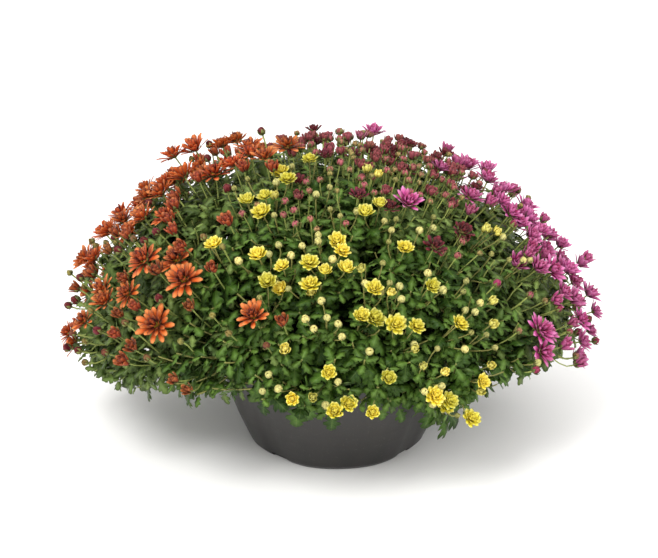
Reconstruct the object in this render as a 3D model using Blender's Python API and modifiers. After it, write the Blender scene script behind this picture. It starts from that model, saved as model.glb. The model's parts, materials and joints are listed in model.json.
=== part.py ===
"""A pot chrysanthemum: a moulded bowl of potting mix planted with four bushy chrysanthemums,
bronze, yellow, magenta and burgundy, that have grown together into one wide dome.

Metres, +Z up. The origin is the middle of the bowl's foot and -Y is the front. Azimuths are in
degrees, seen from above: 0 is the front and 90 is +X, the right-hand side.
"""

import math

import bmesh
import bpy
import numpy as np
from mathutils import Matrix, Vector

# The bowl: a thin moulded shell of four broad lobes with a shallow upright recess between them
RIM_RADIUS = 0.155
BOWL_HEIGHT = 0.135
WALL = 0.0025
LIP_WIDTH = 0.007
LIP_DROP = 0.008
FOOT_RADIUS = 0.1125
CORNER = 0.005
WALL_BULGE = 0.20
WALL_STEPS = 3
STEPS_ROUND = 48

# The lobes: degrees from a lobe's middle, and the bowl's radius there as a share of its full one
LOBES = 4
LOBE_TURN = 4.0
LOBE_SHAPE = ((0, 0.992), (24, 1.0), (36.5, 0.984), (40, 0.970), (45, 0.968))

# Openings in the foot: a drain notch under each recess, and drain holes in the floor
NOTCH_WIDTH = 0.025
NOTCH_HEIGHT = 0.0065
NOTCH_REACH = 0.010
DRAIN_HOLES = 6
DRAIN_RADIUS = 0.005
DRAIN_CIRCLE = 0.060
HOLE_SIDES = 12

# The potting mix, and the hollow in it that holds each plant's root collar
GAP = 0.0003
SOIL_LEVEL = 0.123
SOIL_CLEARANCE = 0.002
POCKET_DEPTH = 0.016

# The woody crown at the foot of each plant
CROWN_CIRCLE = 0.060
CROWN_RADIUS = 0.009
CROWN_TAPER = 0.8
STUB_DEPTH = 0.003
CROWN_TOP = SOIL_LEVEL + 0.016
STUB_LENGTH = 0.026
STUB_SWELL = 1.15
STEM_FOOT_RADIUS = 0.0026
STEM_TIP_RADIUS = 0.0018
STEEPNESS = 0.75

# The dome that the four plants make together, higher at the front edge than at the back
DOME_MIDDLE = Vector((-0.012, 0.040, 0.125))
DOME_HALF_WIDTH = 0.331
DOME_HALF_DEPTH = 0.275
DOME_RISE = 0.255
DOME_TILT = 0.05
DOME_POWER = 1.9
GROWTH_CENTRE = DOME_MIDDLE - Vector((0, 0, 0.0625))

# A leafy branch, whose leaves leave the stem one at a time, each turned on from the last
TIP_DEPTH = 0.062
FOOT_RUN_SHARE = 0.22
TIP_RUN = 0.055
LEAVES = 5
LEAF_LENGTH = 0.043
LEAF_THICKNESS = 0.0010
LEAF_OUTLINE = ((0.0, 0.008), (0.5, 0.27), (1.0, 0.0))
FIRST_LEAF = 0.006
LEAF_SPACING = 0.010
LEAF_TURN = 137.5
FIRST_TURN = 21.0
LEAF_SPREAD = 60.0

# A flower spray: a middle stalk, and side stalks that leave it one above the other
SIDE_HEADS = 5
RING_RADIUS = 0.043
RING_SINK = 0.006
FIRST_FORK = 0.006
FORK_SPACING = 0.005
MIDDLE_STALK_RADIUS = 0.0016
SIDE_STALK_RADIUS = 0.0009

# Where the branches reach the dome: degrees down from the top, and the azimuth
BRANCHES = {
    "bronze": ((86, -126), (90, -90), (84, -54), (56, -108), (56, -72), (54, -36), (28, -90)),
    "yellow": ((73, -18), (73, 18), (50, 0), (52, 36), (28, -30), (28, 30)),
    "magenta": ((81, 54), (90, 90), (86, 126), (56, 72), (56, 108), (28, 90)),
    "burgundy": ((85, 162), (85, -162), (56, 144), (56, 180), (56, -144), (28, 150), (28, -150), (0, 0)),
}
CROWN_AZIMUTHS = {"bronze": -90, "yellow": 0, "magenta": 90, "burgundy": 180}
HEAD_WIDTHS = {"bronze": 0.040, "yellow": 0.026, "magenta": 0.040, "burgundy": 0.022}
HEAD_HEIGHT = 0.014

# Colours, linear red, green and blue, and roughness
PLASTIC = ((0.045, 0.042, 0.040), 0.55)
PEAT = ((0.030, 0.018, 0.010), 0.95)
WOOD = ((0.130, 0.105, 0.045), 0.80)
FOLIAGE = ((0.035, 0.085, 0.022), 0.60)
PETALS = {
    "bronze": ((0.560, 0.075, 0.018), 0.55),
    "yellow": ((0.870, 0.690, 0.040), 0.50),
    "magenta": ((0.440, 0.060, 0.230), 0.50),
    "burgundy": ((0.115, 0.008, 0.015), 0.50),
}


def material(name, finish):
    colour, roughness = finish
    made = bpy.data.materials.new(name)
    made.use_nodes = True
    made.diffuse_color = (*colour, 1.0)
    shader = made.node_tree.nodes["Principled BSDF"]
    shader.inputs["Base Color"].default_value = (*colour, 1.0)
    shader.inputs["Roughness"].default_value = roughness
    shader.inputs["Metallic"].default_value = 0.0
    return made


def compass(azimuth, radius, height=0.0):
    """The point at an azimuth, at a distance from the bowl's axis."""
    angle = math.radians(azimuth)
    return Vector((radius * math.sin(angle), -radius * math.cos(angle), height))


def add_object(name, mesh, finish, collection):
    made = bpy.data.objects.new(name, mesh)
    mesh.name = name
    mesh.materials.clear()
    if finish:
        mesh.materials.append(finish)
    collection.objects.link(made)
    return made


def add_shape(name, shape, finish, collection):
    """An object from a bmesh, which is then freed."""
    mesh = bpy.data.meshes.new(name)
    shape.to_mesh(mesh)
    shape.free()
    return add_object(name, mesh, finish, collection)


def plain_mesh(source):
    """The evaluated object as a mesh in world space, with a curve's caps welded to its sides."""
    bpy.context.view_layer.update()
    graph = bpy.context.evaluated_depsgraph_get()
    mesh = bpy.data.meshes.new_from_object(source.evaluated_get(graph), depsgraph=graph)
    mesh.transform(source.matrix_world)
    shape = bmesh.new()
    shape.from_mesh(mesh)
    bmesh.ops.remove_doubles(shape, verts=shape.verts, dist=1e-6)
    shape.to_mesh(mesh)
    shape.free()
    return mesh


def combined(name, source, cutter, operation, finish, collection):
    """A new object: source joined with cutter, or cut by it. Both helpers are then removed."""
    step = source.modifiers.new(operation.title(), "BOOLEAN")
    step.operation = operation
    step.object = cutter
    step.use_self = True
    mesh = plain_mesh(source)
    for helper in (source, cutter):
        bpy.data.objects.remove(helper)
    return add_object(name, mesh, finish, collection)


def from_curve(curve):
    """The mesh of a curve, with its caps welded."""
    holder = bpy.data.objects.new("guide", curve)
    bpy.context.scene.collection.objects.link(holder)
    mesh = plain_mesh(holder)
    bpy.data.objects.remove(holder)
    return mesh


def tube(points, radii, thickest, resolution):
    """A closed tube along points, with its own radius at each of them."""
    curve = bpy.data.curves.new("tube", "CURVE")
    curve.dimensions = "3D"
    curve.bevel_depth = thickest
    curve.bevel_resolution = resolution
    curve.use_fill_caps = True
    spline = curve.splines.new("POLY")
    spline.points.add(len(points) - 1)
    for point, place, radius in zip(spline.points, points, radii):
        point.co = (*place, 1)
        point.radius = radius / thickest
    return from_curve(curve)


def lobe_share(azimuth):
    """The bowl's radius at an azimuth, as a share of its full one."""
    pitch = 360 / LOBES
    from_middle = abs((azimuth - LOBE_TURN + pitch / 2) % pitch - pitch / 2)
    angles, shares = zip(*LOBE_SHAPE)
    return float(np.interp(from_middle, angles, shares))


def wall_radius(height):
    """The outer radius of the bowl's wall, which rises steeply and leans out less to the lip."""
    share = (height - CORNER) / (BOWL_HEIGHT - CORNER)
    bulge = WALL_BULGE * math.sin(math.pi * share)
    return FOOT_RADIUS + (RIM_RADIUS - LIP_WIDTH - FOOT_RADIUS) * (share + bulge)


def bowl_profile():
    """Radius and height from the inner side of the lip's skirt, under the lip and down the
    outside of the wall to the middle of the floor."""
    points = [
        (RIM_RADIUS - WALL, BOWL_HEIGHT - LIP_DROP),
        (RIM_RADIUS - WALL, BOWL_HEIGHT - WALL),
        (RIM_RADIUS - LIP_WIDTH, BOWL_HEIGHT - WALL),
    ]
    for step in range(WALL_STEPS - 1, -1, -1):
        height = CORNER + (BOWL_HEIGHT - LIP_DROP - CORNER) * step / WALL_STEPS
        points.append((wall_radius(height), height))
    return points + [(FOOT_RADIUS - CORNER, 0.0), (0.0, 0.0)]


def turned(name, profile):
    """The mesh that a profile sweeps round the axis, drawn in to the bowl's lobes."""
    mesh = bpy.data.meshes.new(name)
    corners = [(radius, 0.0, height) for radius, height in profile]
    mesh.from_pydata(corners, [(step, step + 1) for step in range(len(corners) - 1)], [])
    holder = bpy.data.objects.new(name, mesh)
    holder.rotation_euler.z = math.radians(LOBE_TURN)
    bpy.context.scene.collection.objects.link(holder)
    sweep = holder.modifiers.new("Sweep", "SCREW")
    sweep.steps = STEPS_ROUND
    sweep.render_steps = STEPS_ROUND
    sweep.use_merge_vertices = True
    sweep.merge_threshold = 0.00001
    swept = plain_mesh(holder)
    bpy.data.objects.remove(holder)
    for corner in swept.vertices:
        share = lobe_share(math.degrees(math.atan2(corner.co.x, -corner.co.y)))
        corner.co.x *= share
        corner.co.y *= share
    return swept


def foot_cutters():
    """The notches in the foot's edge and the drain holes in the floor."""
    shape = bmesh.new()
    for lobe in range(LOBES):
        azimuth = LOBE_TURN + 360 / LOBES * (lobe + 0.5)
        place = Matrix.Translation(compass(azimuth, FOOT_RADIUS))
        place @= Matrix.Rotation(math.radians(azimuth), 4, "Z")
        place @= Matrix.Diagonal((NOTCH_WIDTH, 2 * NOTCH_REACH, 2 * NOTCH_HEIGHT, 1))
        bmesh.ops.create_cube(shape, size=1, matrix=place)
    for hole in range(DRAIN_HOLES):
        bmesh.ops.create_cone(
            shape,
            cap_ends=True,
            segments=HOLE_SIDES,
            radius1=DRAIN_RADIUS,
            radius2=DRAIN_RADIUS,
            depth=4 * WALL,
            matrix=Matrix.Translation(compass(360 * hole / DRAIN_HOLES, DRAIN_CIRCLE)),
        )
    return shape


def make_bowl(collection, cutters):
    plastic = material("charcoal_plastic", PLASTIC)
    shell = add_object("shell", turned("shell", bowl_profile()), plastic, collection)
    thickness = shell.modifiers.new("Wall", "SOLIDIFY")
    thickness.thickness = WALL
    thickness.offset = -1
    cutter = add_shape("foot_cutter", foot_cutters(), None, cutters)
    bowl = combined("bowl", shell, cutter, "DIFFERENCE", plastic, collection)
    bowl.data.shade_smooth()
    bowl.data.set_sharp_from_angle(angle=math.radians(35))


def soil_profile():
    """The mix's outline from the middle of its level top, down inside the wall to the floor."""
    inset = WALL + SOIL_CLEARANCE
    floor = WALL + GAP
    points = [(0.0, SOIL_LEVEL)]
    for height in (SOIL_LEVEL, 0.5 * SOIL_LEVEL, 2 * CORNER):
        points.append((wall_radius(height) - inset, height))
    return points + [(FOOT_RADIUS - CORNER - inset, floor), (0.0, floor)]


def make_soil(collection, cutters):
    peat = material("potting_mix", PEAT)
    block = add_object("block", turned("block", soil_profile()), peat, collection)
    pockets = bmesh.new()
    for azimuth in CROWN_AZIMUTHS.values():
        bmesh.ops.create_cone(
            pockets,
            cap_ends=True,
            segments=HOLE_SIDES,
            radius1=CROWN_RADIUS + 2 * GAP,
            radius2=CROWN_RADIUS + 2 * GAP,
            depth=2 * POCKET_DEPTH,
            matrix=Matrix.Translation(compass(azimuth, CROWN_CIRCLE, SOIL_LEVEL)),
        )
    cutter = add_shape("pocket_cutter", pockets, None, cutters)
    combined("potting_mix", block, cutter, "DIFFERENCE", peat, collection)


def dome_point(down, azimuth):
    """A point on the dome, from 0 degrees down at its top to 90 at its widest."""
    down, azimuth = math.radians(down), math.radians(azimuth)
    power = 2 / DOME_POWER
    out = math.sin(down) ** power
    forward = DOME_HALF_DEPTH * out * math.cos(azimuth)
    rise = math.copysign(abs(math.cos(down)) ** power, math.cos(down))
    across = DOME_HALF_WIDTH * out * math.sin(azimuth)
    return DOME_MIDDLE + Vector((across, -forward, DOME_RISE * rise + DOME_TILT * forward))


def outward(point):
    """The way a branch grows where it reaches the dome: away from a point low in its middle."""
    return (point - GROWTH_CENTRE).normalized()


def turn_to(direction):
    return direction.to_track_quat("Z", "Y").to_matrix().to_4x4()


def crown_top(plant):
    return compass(CROWN_AZIMUTHS[plant], CROWN_CIRCLE, CROWN_TOP)


def branch_line(plant, down, azimuth):
    """Where a branch starts and the way it leaves the crown, then the same for its tip."""
    surface = dome_point(down, azimuth)
    tip_way = outward(surface)
    tip = surface - TIP_DEPTH * tip_way
    straight = (tip - crown_top(plant)).normalized()
    start_way = (straight + Vector((0, 0, STEEPNESS))).normalized()
    return crown_top(plant) + STUB_LENGTH * start_way, start_way, tip, tip_way


def stem_points(line):
    """A stem runs straight out of its stub, bends over and ends in the straight run of its leaves."""
    start, start_way, tip, tip_way = line
    foot_run = FOOT_RUN_SHARE * (tip - start).length
    return start, start + foot_run * start_way, tip - TIP_RUN * tip_way, tip


def make_crown(plant, collection):
    """The root collar that stands in the mix, with a stub for each stem that it carries."""
    wood = material(plant + "_crown_wood", WOOD)
    top = crown_top(plant)
    foot = SOIL_LEVEL - POCKET_DEPTH + GAP
    trunk = bmesh.new()
    bmesh.ops.create_cone(
        trunk,
        cap_ends=True,
        segments=HOLE_SIDES,
        radius1=CROWN_RADIUS,
        radius2=CROWN_TAPER * CROWN_RADIUS,
        depth=CROWN_TOP - foot,
        matrix=Matrix.Translation((top.x, top.y, (CROWN_TOP + foot) / 2)),
    )
    made = add_shape(plant + "_crown", trunk, wood, collection)
    inside = top - Vector((0, 0, STUB_DEPTH))
    for down, azimuth in BRANCHES[plant]:
        start, start_way, _, _ = branch_line(plant, down, azimuth)
        radii = (STUB_SWELL * STEM_FOOT_RADIUS, STEM_FOOT_RADIUS)
        stub = tube((inside, start - GAP * start_way), radii, STEM_FOOT_RADIUS, 1)
        stub = add_object("stub", stub, wood, collection)
        made = combined(plant + "_crown", made, stub, "UNION", wood, collection)


def leaf_mesh():
    """A flat leaf with its stalk end at the origin, pointing along +X."""
    curve = bpy.data.curves.new("leaf", "CURVE")
    curve.dimensions = "2D"
    curve.fill_mode = "BOTH"
    curve.extrude = LEAF_THICKNESS / 2
    outline = list(LEAF_OUTLINE) + [(along, -side) for along, side in reversed(LEAF_OUTLINE) if side > 0]
    spline = curve.splines.new("POLY")
    spline.points.add(len(outline) - 1)
    for point, (along, side) in zip(spline.points, outline):
        point.co = (LEAF_LENGTH * along, LEAF_LENGTH * side, 0, 1)
    spline.use_cyclic_u = True
    return from_curve(curve)


def make_branch(name, line, leaf, collection):
    """A stem and the leaves under its tip."""
    foliage = material(name + "_green", FOLIAGE)
    _, _, tip, tip_way = line
    points = stem_points(line)
    radii = np.linspace(STEM_FOOT_RADIUS, STEM_TIP_RADIUS, len(points))
    made = add_object(name, tube(points, radii, STEM_FOOT_RADIUS, 1), foliage, collection)
    for count in range(LEAVES):
        foot = tip - (FIRST_LEAF + LEAF_SPACING * count) * tip_way
        place = Matrix.Translation(foot) @ turn_to(tip_way)
        place @= Matrix.Rotation(math.radians(FIRST_TURN + LEAF_TURN * count), 4, "Z")
        place @= Matrix.Rotation(math.radians(LEAF_SPREAD - 90), 4, "Y")
        blade = leaf.copy()
        blade.transform(place)
        blade = add_object("blade", blade, foliage, collection)
        made = combined(name, made, blade, "UNION", foliage, collection)


def make_spray(name, plant, line, collection):
    """The flower stalks that stand on a branch's tip, each with its head."""
    petals = material(name + "_petals", PETALS[plant])
    _, _, tip, tip_way = line
    frame = Matrix.Translation(tip) @ turn_to(tip_way)
    wide = HEAD_WIDTHS[plant] / 2
    face = Vector((0, 0, TIP_DEPTH))
    neck = face - Vector((0, 0, HEAD_HEIGHT))
    radii = (MIDDLE_STALK_RADIUS, MIDDLE_STALK_RADIUS, wide)
    made = tube([frame @ place for place in (Vector((0, 0, GAP)), neck, face)], radii, wide, 1)
    made = add_object(name, made, petals, collection)
    for count in range(SIDE_HEADS):
        turn = 2 * math.pi * (2 * count % SIDE_HEADS) / SIDE_HEADS
        root = Vector((0, 0, FIRST_FORK + FORK_SPACING * count))
        face = Vector((RING_RADIUS * math.cos(turn), RING_RADIUS * math.sin(turn), TIP_DEPTH - RING_SINK))
        neck = face - HEAD_HEIGHT * (face - root).normalized()
        radii = (SIDE_STALK_RADIUS, SIDE_STALK_RADIUS, wide)
        side = tube([frame @ place for place in (root, neck, face)], radii, wide, 1)
        side = add_object("side", side, petals, collection)
        made = combined(name, made, side, "UNION", petals, collection)


def main():
    for old in list(bpy.data.objects):
        bpy.data.objects.remove(old)
    collection = bpy.data.collections.new("pot_chrysanthemum")
    cutters = bpy.data.collections.new("cutters")
    for each in (collection, cutters):
        bpy.context.scene.collection.children.link(each)
    make_bowl(collection, cutters)
    make_soil(collection, cutters)
    leaf = leaf_mesh()
    for plant, directions in BRANCHES.items():
        make_crown(plant, collection)
        for count, (down, azimuth) in enumerate(directions, 1):
            line = branch_line(plant, down, azimuth)
            make_branch(f"{plant}_branch_{count}", line, leaf, collection)
            make_spray(f"{plant}_spray_{count}", plant, line, collection)


main()
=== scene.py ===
"""The looks of a pot chrysanthemum: every stem, leaf, stalk, bract and petal of four bushy plants,
bronze, yellow, magenta and burgundy, that have grown together into one dome over a charcoal bowl.

Metres, +Z up. The origin is the middle of the bowl's foot and -Y is the front. Azimuths are in
degrees, seen from above: 0 is the front and 90 is +X, the right-hand side.
"""

import json
import math
import random
from collections import namedtuple

import bmesh
import bpy
import numpy as np
from mathutils import Matrix, Vector, noise
from mathutils.geometry import interpolate_bezier

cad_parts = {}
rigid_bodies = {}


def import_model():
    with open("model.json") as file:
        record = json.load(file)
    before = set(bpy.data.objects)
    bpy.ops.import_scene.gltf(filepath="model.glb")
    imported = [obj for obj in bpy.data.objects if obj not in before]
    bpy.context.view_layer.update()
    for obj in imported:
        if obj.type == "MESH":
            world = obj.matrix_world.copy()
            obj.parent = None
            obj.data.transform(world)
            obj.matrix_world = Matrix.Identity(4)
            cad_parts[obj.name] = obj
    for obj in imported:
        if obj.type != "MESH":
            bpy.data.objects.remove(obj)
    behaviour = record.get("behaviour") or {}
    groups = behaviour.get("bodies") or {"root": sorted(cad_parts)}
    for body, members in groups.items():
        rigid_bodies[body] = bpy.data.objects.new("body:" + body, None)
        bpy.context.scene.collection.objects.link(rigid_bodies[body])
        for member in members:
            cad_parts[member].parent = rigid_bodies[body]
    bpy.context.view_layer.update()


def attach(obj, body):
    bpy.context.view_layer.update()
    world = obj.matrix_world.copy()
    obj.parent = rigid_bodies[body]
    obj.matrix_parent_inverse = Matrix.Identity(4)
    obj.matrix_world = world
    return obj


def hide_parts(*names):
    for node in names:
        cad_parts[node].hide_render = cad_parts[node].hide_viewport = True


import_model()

MM = 0.001
UP = Vector((0, 0, 1))

# The bowl and the mix in it, as the frame has them
RIM_RADIUS = 0.155
BOWL_HEIGHT = 0.135
WALL = 0.0025
LIP_WIDTH = 0.007
LIP_DROP = 0.008
FOOT_RADIUS = 0.1125
CORNER = 0.005
WALL_BULGE = 0.20
LOBES = 4
LOBE_TURN = 4.0
LOBE_SHAPE = ((0, 0.992), (24, 1.0), (36.5, 0.984), (40, 0.970), (45, 0.968))
NOTCH_WIDTH = 0.025
NOTCH_HEIGHT = 0.0065
NOTCH_REACH = 0.010
DRAIN_HOLES = 6
DRAIN_RADIUS = 0.005
DRAIN_CIRCLE = 0.060
SOIL_LEVEL = 0.123
SOIL_CLEARANCE = 0.002

# The plants' crowns and main stems, as the frame has them
CROWN_CIRCLE = 0.060
CROWN_RADIUS = 0.009
CROWN_TOP = SOIL_LEVEL + 0.016
CROWN_DEPTH = 0.015
STUB_LENGTH = 0.026
STEEPNESS = 0.75
STEM_FOOT_RADIUS = 0.0026
STEM_TIP_RADIUS = 0.0018
DOME_MIDDLE = Vector((-0.012, 0.040, 0.125))
DOME_HALF_WIDTH = 0.331
DOME_HALF_DEPTH = 0.275
DOME_RISE = 0.255
DOME_TILT = 0.05
DOME_POWER = 1.9
GROWTH_CENTRE = DOME_MIDDLE - Vector((0, 0, 0.0625))
TIP_DEPTH = 0.062
BRANCHES = {
    "bronze": ((86, -126), (90, -90), (84, -54), (56, -108), (56, -72), (54, -36), (28, -90)),
    "yellow": ((73, -18), (73, 18), (50, 0), (52, 36), (28, -30), (28, 30)),
    "magenta": ((81, 54), (90, 90), (86, 126), (56, 72), (56, 108), (28, 90)),
    "burgundy": ((85, 162), (85, -162), (56, 144), (56, 180), (56, -144), (28, 150), (28, -150), (0, 0)),
}
PLANTS = tuple(BRANCHES)
CROWN_AZIMUTHS = {"bronze": -90, "yellow": 0, "magenta": 90, "burgundy": 180}

# The camera, found from the bowl and the outline of the plants
IMAGE_WIDTH = 658
IMAGE_HEIGHT = 558
FOCAL_PIXELS = 1507
SENSOR_WIDTH = 36.0
CAMERA_PLACE = Vector((-0.0097, -1.718, 0.902))
CAMERA_PITCH = math.radians(22.05)

GROWTH_LIFT = 0.32

# Heads that stand out in the photograph: the column and row of each one's middle
SEEN = {
    ("bronze", "open"): (
        (193, 145), (172, 152), (236, 137), (221, 142), (232, 161), (250, 151), (264, 154), (287, 142),
        (172, 173), (144, 186), (159, 190), (141, 214), (119, 211), (106, 229), (92, 256), (141, 257),
        (182, 277), (154, 323), (125, 292), (100, 287), (103, 299), (82, 319), (66, 331), (252, 314),
    ),
    ("bronze", "half"): (
        (197, 176), (173, 203), (168, 217), (226, 219), (282, 320), (156, 268), (123, 277), (189, 305),
        (131, 346), (126, 233), (107, 249), (90, 264), (90, 271), (74, 287), (118, 313), (212, 267),
        (122, 360), (173, 379), (187, 389), (114, 333), (214, 150), (243, 165), (272, 165), (134, 305),
    ),
    ("bronze", "bud"): (
        (209, 143), (227, 187), (155, 231), (143, 240), (133, 238), (95, 245), (117, 249), (203, 236),
        (222, 246), (69, 272), (79, 277), (67, 305), (74, 299), (90, 310), (84, 341), (77, 350),
        (66, 347), (84, 362), (146, 357), (158, 297), (124, 322), (180, 341), (212, 315), (228, 333),
        (266, 345), (261, 130), (207, 157), (191, 158), (104, 352), (72, 333), (96, 330),
    ),
    ("yellow", "open"): (
        (212, 241), (309, 156), (264, 193), (246, 197), (260, 209), (287, 176), (279, 168), (380, 201),
        (366, 209), (343, 248), (406, 245), (257, 252), (281, 264), (309, 260), (325, 268), (347, 265),
        (267, 279), (279, 287), (310, 281), (375, 286), (362, 314), (434, 285), (329, 372), (389, 377),
        (335, 410), (349, 403), (373, 412), (292, 399), (436, 395), (451, 400), (485, 381), (473, 417),
        (397, 323), (418, 324), (376, 316), (462, 321), (337, 239), (447, 405),
    ),
    ("yellow", "half"): (
        (274, 193), (311, 290), (361, 267), (313, 397), (482, 391), (416, 348), (285, 348), (495, 299),
        (495, 323), (492, 365), (424, 365), (367, 166), (379, 172), (392, 291), (446, 371), (488, 226),
        (499, 230),
    ),
    ("yellow", "bud"): (
        (247, 178), (234, 187), (292, 165), (276, 181), (274, 214), (316, 193), (330, 186), (330, 208),
        (340, 215), (357, 210), (385, 220), (396, 218), (392, 229), (434, 216), (420, 229), (434, 227),
        (389, 241), (318, 240), (318, 234), (302, 245), (278, 244), (269, 253), (291, 254), (383, 262),
        (365, 282), (382, 291), (390, 282), (400, 285), (402, 298), (338, 323), (327, 317), (314, 328),
        (342, 336), (305, 318), (321, 300), (288, 288), (259, 297), (268, 374), (278, 388), (262, 391),
        (326, 405), (338, 381), (425, 391), (443, 386), (370, 351), (438, 348), (467, 280), (464, 291),
        (428, 272), (444, 289), (481, 302), (466, 309), (476, 311), (472, 332), (487, 334), (466, 349),
        (496, 347), (491, 229), (504, 236), (492, 253), (510, 259), (524, 259), (531, 259), (539, 362),
        (458, 415), (415, 344), (333, 258), (238, 260), (434, 404),
    ),
    ("burgundy", "open"): (
        (299, 177), (359, 192), (325, 152), (437, 243), (447, 150), (465, 228), (438, 155),
    ),
    ("burgundy", "half"): (
        (308, 134), (324, 134), (328, 152), (347, 134), (389, 137), (402, 143), (413, 141), (423, 144),
        (361, 161), (298, 193), (465, 236), (433, 189), (439, 153), (330, 145), (371, 142), (454, 170),
        (487, 170), (474, 173), (430, 188), (387, 188), (413, 152), (378, 151), (340, 148),
    ),
    ("burgundy", "bud"): (
        (311, 142), (341, 160), (355, 142), (330, 167), (306, 180), (285, 199), (294, 208), (463, 240),
        (481, 252), (395, 168), (372, 174), (409, 178), (361, 176), (374, 176), (364, 183), (309, 189),
        (337, 189), (411, 190), (447, 193), (431, 200), (451, 203), (421, 193), (346, 222), (310, 217),
        (317, 228), (283, 213), (295, 222), (241, 212), (257, 203), (419, 165), (422, 173), (405, 171),
        (404, 157), (456, 155), (420, 181), (396, 178), (387, 168), (350, 168), (352, 152), (316, 150),
        (362, 148), (386, 157), (399, 153), (430, 164), (414, 165), (463, 171), (481, 182), (443, 250),
        (464, 241), (459, 254), (330, 172), (320, 178),
    ),
    ("magenta", "open"): (
        (374, 129), (409, 199), (442, 165), (468, 163), (487, 167), (472, 193), (503, 187), (513, 211),
        (520, 222), (505, 200), (528, 203), (541, 228), (533, 234), (553, 233), (562, 243), (519, 262),
        (540, 266), (555, 268), (544, 328), (577, 280), (592, 291), (582, 262), (546, 352), (566, 291),
        (592, 329), (597, 310), (585, 340), (570, 268), (532, 216),
    ),
    ("magenta", "half"): (
        (361, 134), (448, 147), (471, 209), (513, 186), (491, 200), (529, 252), (588, 257), (558, 300),
        (580, 362), (458, 160), (497, 190), (574, 322), (567, 344), (533, 246),
    ),
    ("magenta", "bud"): (
        (519, 189), (498, 282), (531, 294), (520, 330), (537, 369), (577, 355), (529, 197), (547, 228),
        (521, 205), (536, 250), (590, 318), (597, 340), (560, 308), (546, 300), (571, 331),
    ),
}

# How one head is made, in millimetres and degrees, from its outermost petals to its innermost.
# rise is how far the petals stand up, and curl how far each one bends over towards the middle
Head = namedtuple("Head", "petals length width rise curl seat looseness")
HEADS = {
    ("bronze", "open"): Head(40, (18.0, 9.5), (6.8, 4.6), (12, 80), (-14, 60), (5.0, 4.5), 10),
    ("bronze", "half"): Head(22, (13.5, 9.0), (6.2, 4.4), (54, 84), (14, 50), (4.2, 3.0), 7),
    ("bronze", "bud"): Head(9, (11.4, 10.4), (6.4, 5.8), (44, 50), (112, 108), (3.2, 1.0), 3),
    ("yellow", "open"): Head(34, (9.8, 6.4), (7.2, 5.0), (16, 78), (22, 62), (4.2, 4.2), 7),
    ("yellow", "half"): Head(18, (9.8, 7.4), (6.6, 5.0), (50, 84), (44, 60), (3.8, 2.6), 5),
    ("yellow", "bud"): Head(9, (10.5, 9.8), (6.0, 5.4), (44, 50), (114, 110), (2.9, 1.0), 2),
    ("magenta", "open"): Head(34, (15.8, 8.6), (6.8, 4.2), (18, 78), (-6, 50), (4.8, 4.0), 10),
    ("magenta", "half"): Head(20, (13.5, 8.8), (6.2, 4.2), (50, 84), (12, 40), (4.0, 2.8), 7),
    ("magenta", "bud"): Head(9, (10.5, 9.8), (6.0, 5.4), (46, 50), (110, 108), (3.0, 1.0), 3),
    ("burgundy", "open"): Head(28, (10.5, 6.0), (5.4, 3.8), (14, 80), (6, 60), (4.0, 3.2), 9),
    ("burgundy", "half"): Head(18, (9.4, 6.6), (6.0, 4.4), (40, 82), (40, 66), (3.9, 2.0), 6),
    ("burgundy", "bud"): Head(8, (8.2, 7.6), (5.6, 5.0), (40, 48), (114, 110), (2.9, 0.6), 3),
}
FULLNESS = {"bud": 1.0, "half": 1.2, "open": 1.6}
INNER_SEAT = {"bud": 0.85, "half": 0.3, "open": 0.0}
STAGES = ("bud", "half", "open")
OPENNESS = {"bud": 0.0, "half": 0.5, "open": 1.0}
SIZES = {"bud": (0.74, 1.12), "half": (0.86, 1.12), "open": (0.86, 1.14)}
GREEN_BUD = (0.94, 0.76)
HEAD_VARIANTS = 4
PETAL_KINDS = 4
SPREAD = {"bud": 6 * MM, "half": 8.5 * MM, "open": 15 * MM}
SEAT_BACK = {"bud": 6.0 * MM, "half": 8.0 * MM, "open": 7.5 * MM}


def camera_turn():
    """The camera's axes: x to the right, y up in the picture, z back towards the viewer."""
    return Matrix.Rotation(math.pi / 2 - CAMERA_PITCH, 3, "X")


def sight(column, row):
    """The way from the camera through a pixel."""
    right = (column - IMAGE_WIDTH / 2) / FOCAL_PIXELS
    up = (IMAGE_HEIGHT / 2 - row) / FOCAL_PIXELS
    return (camera_turn() @ Vector((right, up, -1))).normalized()


def pixel_of(point):
    """The column and row where the camera sees a point."""
    seen = camera_turn().transposed() @ (point - CAMERA_PLACE)
    scale = FOCAL_PIXELS / -seen.z
    return IMAGE_WIDTH / 2 + scale * seen.x, IMAGE_HEIGHT / 2 - scale * seen.y


def dome_point(down, azimuth):
    """A point on the dome, from 0 degrees down at its top to 90 at its widest."""
    down, azimuth = math.radians(down), math.radians(azimuth)
    power = 2 / DOME_POWER
    out = math.sin(down) ** power
    forward = DOME_HALF_DEPTH * out * math.cos(azimuth)
    rise = math.copysign(abs(math.cos(down)) ** power, math.cos(down))
    across = DOME_HALF_WIDTH * out * math.sin(azimuth)
    return DOME_MIDDLE + Vector((across, -forward, DOME_RISE * rise + DOME_TILT * forward))


def dome_level(point):
    """How far out a point is: below 0 inside the dome, 0 on it, and above 0 outside."""
    offset = point - DOME_MIDDLE
    rise = max(offset.z + DOME_TILT * offset.y, 0)
    across = math.hypot(offset.x / DOME_HALF_WIDTH, offset.y / DOME_HALF_DEPTH)
    return across ** DOME_POWER + (rise / DOME_RISE) ** DOME_POWER - 1


def outward(point):
    """The way the plants grow at a point: away from a place low in the dome's middle."""
    return (point - GROWTH_CENTRE).normalized()


def growth_way(point):
    """The way the stalks grow at a point: outward, and a little towards the light."""
    return (outward(point) + GROWTH_LIFT * UP).normalized()


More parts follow.
